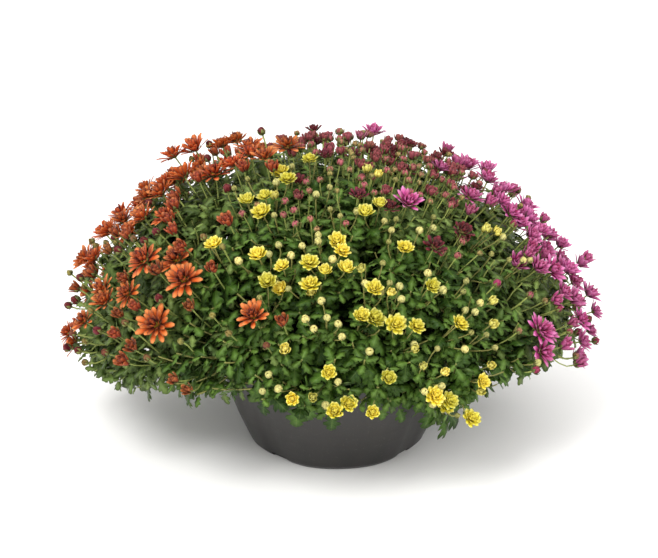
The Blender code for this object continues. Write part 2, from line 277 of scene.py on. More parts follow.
def seen_on_dome(column, row):
    """Where a pixel's line of sight meets the dome, or passes nearest to it."""
    way = sight(column, row)
    nearest = (1e9, None)
    for step in range(1300, 2150, 3):
        point = CAMERA_PLACE + step * MM * way
        level = dome_level(point)
        if level < nearest[0]:
            nearest = (level, point)
        if level < 0:
            break
    return nearest[1]


# Where each head stands

Bloom = namedtuple("Bloom", "plant stage middle way size")
FACE_LIFT = 0.35
FACE_STRAY = 0.16
CROWDING = 0.62
SINK_STEP = 3 * MM
SINK_LIMIT = 24 * MM

# Heads that the photograph doesn't show, or shows too small to be told apart: how far apart they
# stand on each plant, and how many in ten are buds, half open and open
FILL_SPACING = {"bronze": 28 * MM, "yellow": 29 * MM, "magenta": 29 * MM, "burgundy": 23 * MM}
FILL_SHARES = {"bronze": (2, 3, 5), "yellow": (5, 2, 3), "magenta": (2, 2, 6), "burgundy": (6, 3, 1)}
FILL_TRIALS = 3000
FILL_LOWEST = 94
HIDDEN = 0.10
CROWDS = {   # where heads are too crowded to tell apart: columns, rows and spacing
    "bronze": (((150, 300), (126, 172), 18 * MM), ((88, 190), (168, 262), 20 * MM)),
    "yellow": (),
    "magenta": (((480, 610), (170, 352), 24 * MM),),
    "burgundy": (((285, 480), (128, 205), 11.5 * MM),),
}


def anywhere(lowest, chance):
    """A place on the dome, all parts of it as likely, down to lowest degrees."""
    share = chance.random() * (1 - math.cos(math.radians(lowest)))
    return math.degrees(math.acos(1 - share)), chance.uniform(-180, 180)


def plant_at(down, azimuth):
    """The plant that fills a part of the dome."""
    if abs(azimuth) > 150 or (down < 26 and abs(azimuth) > 50) or (down < 40 and 20 < azimuth):
        return "burgundy"
    if azimuth < -40:
        return "bronze"
    return "yellow" if azimuth < 50 else "magenta"


def face_way(point, chance):
    """The way a head faces: outward, lifted towards the light, and a little astray."""
    stray = Vector([chance.gauss(0, FACE_STRAY) for _ in range(3)])
    return (outward(point) + FACE_LIFT * UP + stray).normalized()


def crowded(middle, reach, blooms):
    for other in blooms:
        if (middle - other.middle).length < CROWDING * (reach + SPREAD[other.stage]):
            return True
    return False


def spacing_at(plant, middle):
    """How far apart a plant's added heads stand at a place, or None where the photograph has all."""
    if outward(middle).dot((CAMERA_PLACE - middle).normalized()) < HIDDEN:
        return FILL_SPACING[plant]
    column, row = pixel_of(middle)
    for columns, rows, spacing in CROWDS[plant]:
        if columns[0] < column < columns[1] and rows[0] < row < rows[1]:
            return spacing
    return None


def seen_blooms(chance):
    """The heads of the photograph, each on its own line of sight, the crowded ones further back."""
    blooms = []
    for (plant, stage), pixels in SEEN.items():
        for column, row in pixels:
            middle = seen_on_dome(column, row)
            sunk = 0
            while sunk < SINK_LIMIT and crowded(middle, SPREAD[stage], blooms):
                middle = middle + SINK_STEP * sight(column, row)
                sunk += SINK_STEP
            size = chance.uniform(*SIZES[stage])
            blooms.append(Bloom(plant, stage, middle, face_way(middle, chance), size))
    return blooms


def fill_blooms(blooms, chance):
    """Heads over the rest of the dome, no closer together than their plant has them."""
    for trial in range(FILL_TRIALS):
        down, azimuth = anywhere(FILL_LOWEST, chance)
        surface = dome_point(down, azimuth)
        middle = surface + chance.uniform(-14, 4) * MM * outward(surface)
        plant = plant_at(down + chance.gauss(0, 4), azimuth + chance.gauss(0, 5))
        spacing = spacing_at(plant, middle)
        if spacing and all((middle - other.middle).length > spacing for other in blooms):
            stage = chance.choices(STAGES, FILL_SHARES[plant])[0]
            size = chance.uniform(*SIZES[stage])
            blooms.append(Bloom(plant, stage, middle, face_way(middle, chance), size))
    return blooms


def seat(bloom):
    """The top of a head's stalk."""
    return bloom.middle - bloom.size * SEAT_BACK[bloom.stage] * bloom.way


# Stems, shoots and stalks

Stem = namedtuple("Stem", "points radii kind")
MAIN_STEPS = 22
SHOOT_STEPS = 9
LEAFY_STEPS = 5
STALK_STEPS = 7
HUB_DEPTH = {"bronze": 66 * MM, "yellow": 52 * MM, "magenta": 70 * MM, "burgundy": 76 * MM}
HUB_REACH = 26 * MM
HUB_CLEARANCE = 10 * MM
SHOOT_LEAST = 26 * MM
SHOOT_RADIUS = 1.5 * MM
STALK_RADIUS = {"bronze": 0.90 * MM, "yellow": 0.75 * MM, "magenta": 0.80 * MM, "burgundy": 0.66 * MM}
NECK_SWELL = 1.35


def compass(azimuth, radius, height=0.0):
    """The point at an azimuth, at a distance from the bowl's axis."""
    angle = math.radians(azimuth)
    return Vector((radius * math.sin(angle), -radius * math.cos(angle), height))


def smooth_line(start, start_way, end, end_way, steps, pull=0.36):
    """Points on a smooth curve that leaves start one way and arrives at end another."""
    reach = pull * (end - start).length
    return interpolate_bezier(start, start + reach * start_way, end - reach * end_way, end, steps)


def main_stem(plant, down, azimuth):
    """A stem from its crown to the tip that the frame gives it."""
    surface = dome_point(down, azimuth)
    tip_way = outward(surface)
    tip = surface - TIP_DEPTH * tip_way
    crown = compass(CROWN_AZIMUTHS[plant], CROWN_CIRCLE, CROWN_TOP)
    start_way = ((tip - crown).normalized() + STEEPNESS * UP).normalized()
    start = crown + STUB_LENGTH * start_way
    points = [crown - 3 * MM * UP] + smooth_line(start, start_way, tip, tip_way, MAIN_STEPS)
    return Stem(points, list(np.linspace(STEM_FOOT_RADIUS, STEM_TIP_RADIUS, len(points))), "main")


def above_rim(point):
    """The point, or the one straight above it that is clear of the bowl's rim."""
    return Vector((point.x, point.y, max(point.z, BOWL_HEIGHT + HUB_CLEARANCE)))


def hubs_for(blooms, stems, plant, chance):
    """Where a plant's shoots end and their stalks fan out: the stems' tips first, then more."""
    hubs = [stem.points[-1] for stem in stems]
    for bloom in blooms:
        foot = seat(bloom)
        depth = HUB_DEPTH[plant] * chance.uniform(0.85, 1.15)
        wanted = above_rim(foot - depth * growth_way(foot))
        if min((wanted - hub).length for hub in hubs) > HUB_REACH:
            hubs.append(wanted)
    return hubs


def on_bowl(point):
    """Whether a point is in the bowl, or so near that a leaf or stem there would touch it."""
    return math.hypot(point.x, point.y) < RIM_RADIUS + 5 * MM and point.z < BOWL_HEIGHT + 4 * MM


def shoot_to(hub, stems):
    """A side shoot from the nearest main stem that the hub lies outward of."""
    best = (1e9, None, None)
    for stem in stems:
        for here, after in zip(stem.points[3:], stem.points[4:]):
            span = hub - here
            if span.length < SHOOT_LEAST:
                continue
            astray = 1 - span.normalized().dot(outward(hub))
            cost = span.length * (1 + 1.2 * astray)
            if cost < best[0]:
                best = (cost, here, (after - here).normalized())
    _, start, stem_way = best
    start_way = ((hub - start).normalized() + 0.8 * stem_way).normalized()
    points = smooth_line(start, start_way, hub, growth_way(hub), SHOOT_STEPS)
    return Stem(points, list(np.linspace(SHOOT_RADIUS, 0.85 * SHOOT_RADIUS, len(points))), "shoot")


def stalk_to(bloom, hubs):
    """A flower stalk from the nearest hub to the head that it carries."""
    foot = seat(bloom)
    wanted = above_rim(foot - HUB_DEPTH[bloom.plant] * growth_way(foot))
    hub = min(hubs, key=lambda each: (each - wanted).length)
    start_way = ((foot - hub).normalized() + 0.5 * growth_way(hub)).normalized()
    points = smooth_line(hub, start_way, foot, bloom.way, STALK_STEPS, 0.33)
    radii = [STALK_RADIUS[bloom.plant]] * len(points)
    radii[-1] = NECK_SWELL * radii[-1]
    return Stem(points, radii, "stalk")


# The lower edge of the foliage in the photograph, by column and row. Behind, the plants are taken
# to hang as low as they do in front
HEM_COLUMNS = (57, 88, 110, 148, 177, 225, 242, 262, 300, 332, 355, 405, 440, 458, 470, 504, 539, 568, 596)
HEM_ROWS = (338, 379, 391, 400, 406, 402, 396, 410, 422, 424, 412, 416, 428, 428, 408, 391, 379, 356, 332)
HEM_STRAY = 3.0


def below_hem(point, spare=0):
    """Whether a point would show below the foliage's lower edge, or within spare rows of it."""
    behind = abs(point.y - DOME_MIDDLE.y)
    column, row = pixel_of(Vector((point.x, DOME_MIDDLE.y - behind, point.z)))
    return row + spare > np.interp(column, HEM_COLUMNS, HEM_ROWS)


# Leaves that hang clear of the rest in the photograph: the pixels of each one's foot and tip
HANGING = (
    ((264, 398), (261, 418)), ((297, 405), (295, 430)), ((333, 413), (331, 433)),
    ((384, 407), (383, 422)), ((398, 406), (404, 423)), ((432, 404), (428, 432)),
    ((443, 414), (452, 437)), ((446, 410), (460, 426)), ((461, 390), (466, 409)),
    ((242, 388), (239, 402)), ((314, 404), (306, 422)), ((186, 390), (187, 411)),
    ((150, 384), (147, 402)), ((222, 388), (226, 406)), ((520, 368), (526, 384)),
)
HANGING_OUT = 15 * MM
FRONT_OF_BOWL = 0.090


def seen_round_bowl(column, row):
    """The place on a line of sight where leaves that hang over the bowl's rim are."""
    way = sight(column, row)
    radius = RIM_RADIUS + HANGING_OUT
    step = MM
    point = CAMERA_PLACE + 1.2 * way
    while math.hypot(point.x, point.y) > radius and point.y < -FRONT_OF_BOWL:
        point = point + step * way
    return point


# Shoots without flowers: they fill the dome a little under its surface, and hang over the bowl's rim.
# end_leaf is the length of the leaf that goes on from the shoot's tip
Tuft = namedtuple("Tuft", "plant tip way end_leaf")
TUFT_SPACING = 23 * MM
TUFT_TRIALS = 5000
TUFT_ROOM = 9
TUFT_LOWEST = 103
TUFT_DEPTH = {"bronze": (18, 46), "yellow": (12, 42), "magenta": (18, 46), "burgundy": (14, 42)}
TUFT_RADIUS = 0.9 * MM
SKIRT_SHOOTS = 60
SKIRT_OUT = (12, 44)
SKIRT_HEIGHTS = (0.112, 0.146)
SKIRT_FOOT_HEIGHT = 0.160
RIM_END_LEAF = (22, 32)


def dome_tufts(chance):
    tufts = []
    for trial in range(TUFT_TRIALS):
        down, azimuth = anywhere(TUFT_LOWEST, chance)
        surface = dome_point(down, azimuth)
        plant = plant_at(down, azimuth)
        tip = surface - chance.uniform(*TUFT_DEPTH[plant]) * MM * outward(surface)
        if below_hem(tip, TUFT_ROOM):
            continue
        if all((tip - other.tip).length > TUFT_SPACING for other in tufts):
            tufts.append(Tuft(plant, tip, face_way(tip, chance), 0))
    return tufts


def rim_tufts(chance):
    tufts = []
    for count in range(SKIRT_SHOOTS):
        azimuth = 360 * (count + chance.uniform(-0.4, 0.4)) / SKIRT_SHOOTS - 180
        radius = RIM_RADIUS + chance.uniform(*SKIRT_OUT) * MM
        tip = compass(azimuth, radius, chance.uniform(*SKIRT_HEIGHTS))
        way = (compass(azimuth, 1.0) - chance.uniform(0.2, 0.9) * UP).normalized()
        end_leaf = chance.uniform(*RIM_END_LEAF) * MM
        if not below_hem(tip + end_leaf * way):
            tufts.append(Tuft(plant_at(90, azimuth), tip, way, end_leaf))
    for foot, tip in HANGING:
        foot, tip = seen_round_bowl(*foot), seen_round_bowl(*tip)
        azimuth = math.degrees(math.atan2(foot.x, -foot.y))
        span = tip - foot
        tufts.append(Tuft(plant_at(90, azimuth), foot, span.normalized(), span.length))
    return tufts


def tuft_shoot(tuft, hubs):
    """A short leafy shoot from the hub that best fits its tip."""
    wanted = tuft.tip - 30 * MM * tuft.way
    hub = min(hubs, key=lambda each: (each - wanted).length)
    start_way = ((tuft.tip - hub).normalized() + 0.5 * growth_way(hub)).normalized()
    points = smooth_line(hub, start_way, tuft.tip, tuft.way, LEAFY_STEPS)
    return Stem(points, [TUFT_RADIUS] * len(points), "leafy")


def rim_shoot(tuft, stems):
    """A leafy shoot that arches over the bowl's rim, or None where the rim is in its way."""
    feet = [point for stem in stems for point in stem.points if point.z > SKIRT_FOOT_HEIGHT]
    start = min(feet, key=lambda each: (each - tuft.tip).length)
    across = tuft.tip - start
    across.z = 0
    start_way = (across.normalized() + 0.5 * UP).normalized()
    points = smooth_line(start, start_way, tuft.tip, tuft.way, SHOOT_STEPS, 0.45)
    if any(on_bowl(point) for point in points):
        return None
    return Stem(points, [TUFT_RADIUS] * len(points), "rim")


# Leaves, each a turn on from the last

Leaf = namedtuple("Leaf", "place turn size kind")
LEAF_TURN = math.radians(137.5)
LEAF_RUNS = {   # from the tip of a stem: first leaf, last leaf, spacing, shortest and longest leaf
    "main": (2, 170, 11.0, 26, 40),
    "shoot": (1, 80, 10.0, 20, 34),
    "leafy": (-2, 48, 5.1, 16, 33),
    "rim": (5, 80, 7.5, 20, 34),
    "stalk": (20, 66, 12.0, 10, 20),
}
BARE_STALK = {"bronze": 24, "yellow": 14, "magenta": 24, "burgundy": 24}
LEAF_SHAPES = 6
SMALL_SHAPES = (4, 5)
WHOLE_LEAF = 22 * MM
LEAF_SCALE = {"bronze": 0.98, "yellow": 0.90, "magenta": 0.92, "burgundy": 0.90}
DEEP_LOBED = (0, 1, 2)


def place_along(points, back):
    """The place on a line of points at a distance back from its end, and the way it runs there."""
    back = max(back, 0)
    for after, here in zip(reversed(points), reversed(points[:-1])):
        span = after - here
        if back <= span.length:
            return after - back * span.normalized(), span.normalized()
        back -= span.length
    return None


def clear_of_bowl(place, way, length):
    """Whether a leaf stays off the bowl and the mix."""
    return not any(on_bowl(place + share * length * way) for share in (0.25, 0.5, 0.75, 1.0))


def leaves_on(stem, plant, chance):
    """The leaves that a stem bears."""
    first, last, spacing, shortest, longest = LEAF_RUNS[stem.kind]
    if stem.kind == "stalk":
        first = BARE_STALK[plant]
    turn = chance.uniform(0, 2 * math.pi)
    back = first * MM
    made = []
    while back < last * MM:
        spot = place_along(stem.points, back)
        if not spot:
            break
        place, along = spot
        side = along.cross(UP).normalized()
        other = side.cross(along)
        radial = math.cos(turn) * side + math.sin(turn) * other
        spread = math.radians(chance.uniform(42, 78))
        deep = back / (last * MM)
        droop = chance.uniform(0.0, 0.35) + 0.25 * deep
        way = (math.cos(spread) * along + math.sin(spread) * radial - droop * UP).normalized()
        face = along + chance.uniform(0.6, 1.4) * UP
        face = (face - face.project(way)).normalized()
        length = (shortest + (longest - shortest) * min(1, deep * 1.8)) * MM * chance.uniform(0.85, 1.15)
        if stem.kind != "rim":
            length *= LEAF_SCALE[plant]
        hangs = below_hem(place + length * way, chance.gauss(0, HEM_STRAY))
        if clear_of_bowl(place, way, length) and not hangs:
            kinds = range(LEAF_SHAPES - 1) if length > WHOLE_LEAF else SMALL_SHAPES
            turned = Matrix((way, face.cross(way), face)).transposed()
            made.append(Leaf(place, turned.to_euler(), length, chance.choice(kinds)))
        turn += LEAF_TURN + chance.gauss(0, 0.2)
        back += spacing * MM * chance.uniform(0.8, 1.2)
    return made


def end_leaf(tuft, chance):
    """The leaf at a hanging shoot's tip, which shows its upper side outward."""
    face = outward(tuft.tip) + 0.3 * UP
    face = (face - face.project(tuft.way)).normalized()
    turned = Matrix((tuft.way, face.cross(tuft.way), face)).transposed()
    return Leaf(tuft.tip, turned.to_euler(), tuft.end_leaf, chance.choice(DEEP_LOBED))


# Making meshes

def live(node):
    """A node's first live output."""
    return next(each for each in node.outputs if each.enabled)


def add(tree, kind, inputs=None, stops=(), **settings):
    """Add a node. An input is a value, a socket, or a node whose first live output feeds it."""
    node = tree.nodes.new(kind)
    for name, value in settings.items():
        setattr(node, name, value)
    for key, value in (inputs or {}).items():
        socket = node.inputs[key]
        if isinstance(key, str):
            socket = next(each for each in node.inputs if each.name == key and each.enabled)
        if isinstance(value, bpy.types.Node):
            value = live(value)
        if isinstance(value, bpy.types.NodeSocket):
            tree.links.new(value, socket)
        else:
            socket.default_value = value
    for count, (position, colour) in enumerate(stops):
        stop = node.color_ramp.elements[count] if count < 2 else node.color_ramp.elements.new(position)
        stop.position = position
        stop.color = colour
    return node


def new_tree(name, **inputs):
    """A geometry node tree with named inputs, and the socket of each of them."""
    tree = bpy.data.node_groups.new(name, "GeometryNodeTree")
    tree.interface.new_socket("Mesh", in_out="INPUT", socket_type="NodeSocketGeometry")
    tree.interface.new_socket("Mesh", in_out="OUTPUT", socket_type="NodeSocketGeometry")
    for label, kind in inputs.items():
        tree.interface.new_socket(label, in_out="INPUT", socket_type="NodeSocket" + kind)
    given = tree.nodes.new("NodeGroupInput")
    return tree, {socket.name: socket for socket in given.outputs if socket.name}


def close_tree(tree, last, finish):
    """End a tree with one solid, smooth mesh of one finish."""
    solid = add(tree, "GeometryNodeRealizeInstances", {"Geometry": last})
    smooth = add(tree, "GeometryNodeSetShadeSmooth", {"Geometry": solid})
    done = add(tree, "GeometryNodeSetMaterial", {"Geometry": smooth, "Material": finish})
    add(tree, "NodeGroupOutput", {"Mesh": done})


def grown(name, mesh, tree, **values):
    """The plain mesh that a node tree makes from a mesh, with the tree's inputs set by name."""
    holder = bpy.data.objects.new(name, mesh)
    bpy.context.scene.collection.objects.link(holder)
    step = holder.modifiers.new(name, "NODES")
    step.node_group = tree
    for item in tree.interface.items_tree:
        if item.in_out == "INPUT" and item.name in values:
            step[item.identifier] = values[item.name]
    graph = bpy.context.evaluated_depsgraph_get()
    graph.update()
    made = bpy.data.meshes.new_from_object(
        holder.evaluated_get(graph), preserve_all_data_layers=True, depsgraph=graph
    )
    holder.modifiers.remove(step)
    bpy.data.objects.remove(holder)
    made.name = name
    return made


def points_mesh(name, places, **fields):
    """A mesh of loose points, each with its own value of every field."""
    mesh = bpy.data.meshes.new(name)
    mesh.from_pydata([tuple(place) for place in places], [], [])
    for field, values in fields.items():
        data = np.array(values, dtype=float)
        kind, key = ("FLOAT_VECTOR", "vector") if data.ndim == 2 else ("FLOAT", "value")
        mesh.attributes.new(field, kind, "POINT").data.foreach_set(key, data.ravel())
    return mesh


def shelf(name, meshes):
    """A collection of shapes for a tree to copy, in order, and kept out of the render."""
    kept = bpy.data.collections.new(name)
    bpy.context.scene.collection.children.link(kept)
    for count, mesh in enumerate(meshes):
        kept.objects.link(bpy.data.objects.new(f"{name}_{count:02d}", mesh))
    return kept


def clear_shelf(kept):
    for each in list(kept.objects):
        bpy.data.objects.remove(each)
    bpy.data.collections.remove(kept)


def finished_mesh(shape, name):
    """A mesh from a closed bmesh, with its faces turned outward."""
    bmesh.ops.recalc_face_normals(shape, faces=shape.faces)
    mesh = bpy.data.meshes.new(name)
    shape.to_mesh(mesh)
    shape.free()
    return mesh


# The half-width of a petal along its length, as shares of both: blunt straps, pointed and short ones
OUTER_RINGS = ((0.0, 0.50), (0.38, 0.88), (0.80, 1.0), (1.0, 0.46))
POINTED_RINGS = ((0.0, 0.50), (0.40, 0.96), (0.76, 0.92), (1.0, 0.16))
INNER_RINGS = ((0.0, 0.50), (0.60, 1.0), (1.0, 0.46))
BRACT_RINGS = ((0.0, 0.85), (0.5, 1.0), (1.0, 0.15))
POINTED_PLANTS = ("yellow", "magenta")
PETAL_THICKNESS = 0.40 * MM
PETAL_CUP = 0.22


def petal_mesh(name, length, width, curl, cup, rings, ridged):
    """A thin closed petal from the origin along +X, which bends up by curl degrees on its way.
    A ridged one has a raised middle line on its upper side too, and a plain one is flat there."""
    shape = bmesh.new()
    fields = {field: shape.verts.layers.float.new(field) for field in ("along", "across", "upper")}
    bend = math.radians(curl) if abs(curl) > 1 else math.radians(1)
    sections = []
    for share, half in rings:
        angle = bend * share
        centre = length / bend * Vector((math.sin(angle), 0, 1 - math.cos(angle)))
        up = Vector((-math.sin(angle), 0, math.cos(angle)))
        edge = width / 2 * half
        lift = cup * edge * up
        half_thick = PETAL_THICKNESS / 2 * up
        corners = [
            (centre + Vector((0, edge, 0)) + lift, 1.0, 0.5),
            (centre - Vector((0, edge, 0)) + lift, -1.0, 0.5),
            (centre - half_thick, 0.0, 0.0),
        ]
        if ridged:
            corners.insert(1, (centre + half_thick, 0.0, 1.0))
        section = []
        for place, across, upper in corners:
            corner = shape.verts.new(place)
            corner[fields["along"]] = share
            corner[fields["across"]] = across
            corner[fields["upper"]] = upper
            section.append(corner)
        sections.append(section)
    for first, second in zip(sections, sections[1:]):
        for count in range(len(first)):
            after = (count + 1) % len(first)
            shape.faces.new((first[count], first[after], second[after], second[count]))
    shape.faces.new(sections[0])
    shape.faces.new(sections[-1])
    return finished_mesh(shape, name)


def flower_tree():
    """Petals set out round a head like the seeds of a sunflower, from its rim to its middle."""
    tree, given = new_tree(
        "Flower head", Petals="Collection", Count="Int", Kinds="Int", OuterRise="Float",
        InnerRise="Float", SeatRadius="Float", InnerRadius="Float", SeatHeight="Float",
        Looseness="Float", Fullness="Float", Seed="Int", Finish="Material",
    )
    index = add(tree, "GeometryNodeInputIndex")
    rank = add(tree, "ShaderNodeMath", {0: index, 1: given["Count"]}, operation="DIVIDE")
    turn = add(tree, "ShaderNodeMath", {0: index, 1: LEAF_TURN}, operation="MULTIPLY")
    stray = []
    for offset in range(3):
        seed = add(tree, "ShaderNodeMath", {0: given["Seed"], 1: offset * 31.0}, operation="ADD")
        chance = add(
            tree, "FunctionNodeRandomValue", {"Min": -1.0, "Max": 1.0, "Seed": seed}, data_type="FLOAT"
        )
        stray.append(
            add(tree, "ShaderNodeMath", {0: chance, 1: given["Looseness"]}, operation="MULTIPLY")
        )
    late = add(tree, "ShaderNodeMath", {0: rank, 1: given["Fullness"]}, operation="POWER")
    rise = add(
        tree, "ShaderNodeMapRange",
        {"Value": late, "To Min": given["OuterRise"], "To Max": given["InnerRise"]},
    )
    raised = add(tree, "ShaderNodeMath", {0: rise, 1: stray[0]}, operation="ADD")
    lowered = add(tree, "ShaderNodeMath", {0: raised, 1: -1.0}, operation="MULTIPLY")
    astray = add(tree, "ShaderNodeMath", {0: turn, 1: stray[1]}, operation="ADD")
    out = add(
        tree, "ShaderNodeMapRange",
        {"Value": rank, "To Min": given["SeatRadius"], "To Max": given["InnerRadius"]},
    )
    east = add(tree, "ShaderNodeMath", {0: turn}, operation="COSINE")
    north = add(tree, "ShaderNodeMath", {0: turn}, operation="SINE")
    place = add(tree, "ShaderNodeCombineXYZ", {
        "X": add(tree, "ShaderNodeMath", {0: out, 1: east}, operation="MULTIPLY"),
        "Y": add(tree, "ShaderNodeMath", {0: out, 1: north}, operation="MULTIPLY"),
        "Z": add(tree, "ShaderNodeMath", {0: rank, 1: given["SeatHeight"]}, operation="MULTIPLY"),
    })
    spots = add(tree, "GeometryNodePoints", {"Count": given["Count"], "Position": place})
    ranked = add(
        tree, "GeometryNodeStoreNamedAttribute", {"Geometry": spots, "Name": "rank", "Value": rank},
        data_type="FLOAT", domain="POINT",
    )
    petals = add(
        tree, "GeometryNodeCollectionInfo",
        {"Collection": given["Petals"], "Separate Children": True, "Reset Children": True},
    )
    which = add(tree, "ShaderNodeMath", {0: rank, 1: given["Kinds"]}, operation="MULTIPLY")
    attitude = add(tree, "ShaderNodeCombineXYZ", {"X": stray[2], "Y": lowered, "Z": astray})
    size = add(
        tree, "FunctionNodeRandomValue", {"Min": 0.88, "Max": 1.06, "Seed": given["Seed"]},
        data_type="FLOAT",
    )
    whorl = add(tree, "GeometryNodeInstanceOnPoints", {
        "Points": ranked,
        "Instance": petals,
        "Pick Instance": True,
        "Instance Index": add(tree, "ShaderNodeMath", {0: which}, operation="FLOOR"),
        "Rotation": add(tree, "FunctionNodeEulerToRotation", {"Euler": attitude}),
        "Scale": size,
    })
    head = add(tree, "GeometryNodeJoinGeometry", {"Geometry": whorl})
    tree.links.new(given["Mesh"], head.inputs["Geometry"])
    close_tree(tree, head, given["Finish"])
    return tree


def scatter_tree():
    """Copies of the shapes on a shelf, one at each point of a mesh, as the point's fields say."""
    tree, given = new_tree("Set out", Shapes="Collection", Finish="Material")
    read = {
        field: add(tree, "GeometryNodeInputNamedAttribute", {"Name": field}, data_type=kind)
        for field, kind in (("turn", "FLOAT_VECTOR"), ("size", "FLOAT"), ("kind", "FLOAT"))
    }
    shapes = add(
        tree, "GeometryNodeCollectionInfo",
        {"Collection": given["Shapes"], "Separate Children": True, "Reset Children": True},
    )
    copies = add(tree, "GeometryNodeInstanceOnPoints", {
        "Points": given["Mesh"],
        "Instance": shapes,
        "Pick Instance": True,
        "Instance Index": read["kind"],
        "Rotation": add(tree, "FunctionNodeEulerToRotation", {"Euler": read["turn"]}),
        "Scale": read["size"],
    })
    close_tree(tree, copies, given["Finish"])
    return tree


def stem_tree():
    """Round stems along the edges of a mesh, each point as thick as its field says."""
    tree, given = new_tree("Stems", Sides="Int", Finish="Material")
    line = add(tree, "GeometryNodeMeshToCurve", {"Mesh": given["Mesh"]})
    thickness = add(
        tree, "GeometryNodeInputNamedAttribute", {"Name": "thickness"}, data_type="FLOAT"
    )
    ring = add(
        tree, "GeometryNodeCurvePrimitiveCircle", {"Resolution": given["Sides"], "Radius": 1.0}
    )
    solid = add(tree, "GeometryNodeCurveToMesh", {
        "Curve": line,
        "Profile Curve": ring,
        "Scale": thickness,
        "Fill Caps": True,
    })
    close_tree(tree, solid, given["Finish"])
    return tree


# Finishes

def linear(colour):
    """An sRGB hex value as linear red, green, blue and alpha."""
    parts = [int(colour[start:start + 2], 16) / 255 for start in (1, 3, 5)]
    return (*(part / 12.92 if part <= 0.04045 else ((part + 0.055) / 1.055) ** 2.4 for part in parts), 1.0)


def new_finish(name, roughness, ior=1.45):
    """A material with its node tree and its shader."""
    made = bpy.data.materials.new(name)
    made.use_nodes = True
    shader = made.node_tree.nodes["Principled BSDF"]
    shader.inputs["Roughness"].default_value = roughness
    shader.inputs["IOR"].default_value = ior
    return made, made.node_tree, shader


def glow_through(tree, shader, colour, share):
    """Let some of the light pass through a thin petal or leaf."""
    through = add(tree, "ShaderNodeBsdfTranslucent", {"Color": colour})
    both = add(tree, "ShaderNodeMixShader", {0: share, 1: shader.outputs["BSDF"], 2: through})
    tree.links.new(both.outputs[0], tree.nodes["Material Output"].inputs["Surface"])


def petal_finish(name, foot, blade, tip, heart, bud, back, eye, glow):
    """Living petals: soft and matt with a faint sheen, ribbed along their length, paler behind,
    and letting some light through."""
    made, tree, shader = new_finish(name, 0.55, 1.34)
    read = {
        field: add(tree, "ShaderNodeAttribute", attribute_name=field).outputs["Fac"]
        for field in ("along", "across", "upper", "rank", "tint", "open", "young")
    }
    length_wise = add(
        tree, "ShaderNodeValToRGB", {"Fac": read["along"]},
        stops=((0.10, linear(foot)), (0.55, linear(blade)), (0.97, linear(tip))),
    )
    middle_share = add(
        tree, "ShaderNodeMapRange",
        {"Value": read["rank"], "From Min": 0.20, "From Max": 0.75, "To Min": 0.0, "To Max": 1.0},
    )
    with_heart = add(
        tree, "ShaderNodeMix", {"Factor": middle_share, "A": length_wise, "B": linear(heart)},
        data_type="RGBA",
    )
    behind = add(tree, "ShaderNodeMath", {0: read["upper"], 1: 0.47}, operation="LESS_THAN")
    behind_share = add(tree, "ShaderNodeMath", {0: behind, 1: 0.55}, operation="MULTIPLY")
    two_sided = add(
        tree, "ShaderNodeMix", {"Factor": behind_share, "A": with_heart, "B": linear(back)},
        data_type="RGBA",
    )
    folded = add(
        tree, "ShaderNodeMapRange", {"Value": read["open"], "To Min": 0.95, "To Max": 0.0}
    )
    with_bud = add(
        tree, "ShaderNodeMix", {"Factor": folded, "A": two_sided, "B": linear(bud)},
        data_type="RGBA",
    )
    unripe = add(tree, "ShaderNodeMath", {0: read["young"], 1: folded}, operation="MULTIPLY")
    unripe_share = add(tree, "ShaderNodeMath", {0: unripe, 1: 0.8}, operation="MULTIPLY")
    with_green = add(
        tree, "ShaderNodeMix", {"Factor": unripe_share, "A": with_bud, "B": linear("#A6A452")},
        data_type="RGBA",
    )
    in_eye = add(tree, "ShaderNodeMath", {0: read["rank"], 1: 1.5}, operation="GREATER_THAN")
    with_eye = add(
        tree, "ShaderNodeMix", {"Factor": in_eye, "A": with_green, "B": linear(eye)},
        data_type="RGBA",
    )
    value = add(
        tree, "ShaderNodeMapRange", {"Value": read["tint"], "To Min": 0.84, "To Max": 1.10}
    )
    hue = add(
        tree, "ShaderNodeMapRange", {"Value": read["tint"], "To Min": 0.508, "To Max": 0.494}
    )
    varied = add(
        tree, "ShaderNodeHueSaturation", {"Color": with_eye, "Hue": hue, "Value": value}
    )
    tree.links.new(varied.outputs["Color"], shader.inputs["Base Color"])
    rib = add(tree, "ShaderNodeMath", {0: read["across"], 1: 9.0}, operation="MULTIPLY")
    ribs = add(tree, "ShaderNodeMath", {0: rib}, operation="COSINE")
    bump = add(
        tree, "ShaderNodeBump", {"Height": ribs, "Strength": 0.35, "Distance": 0.12 * MM}
    )
    tree.links.new(bump.outputs["Normal"], shader.inputs["Normal"])
    shader.inputs["Sheen Weight"].default_value = 0.05
    glow_through(tree, shader, varied, glow)
    return made


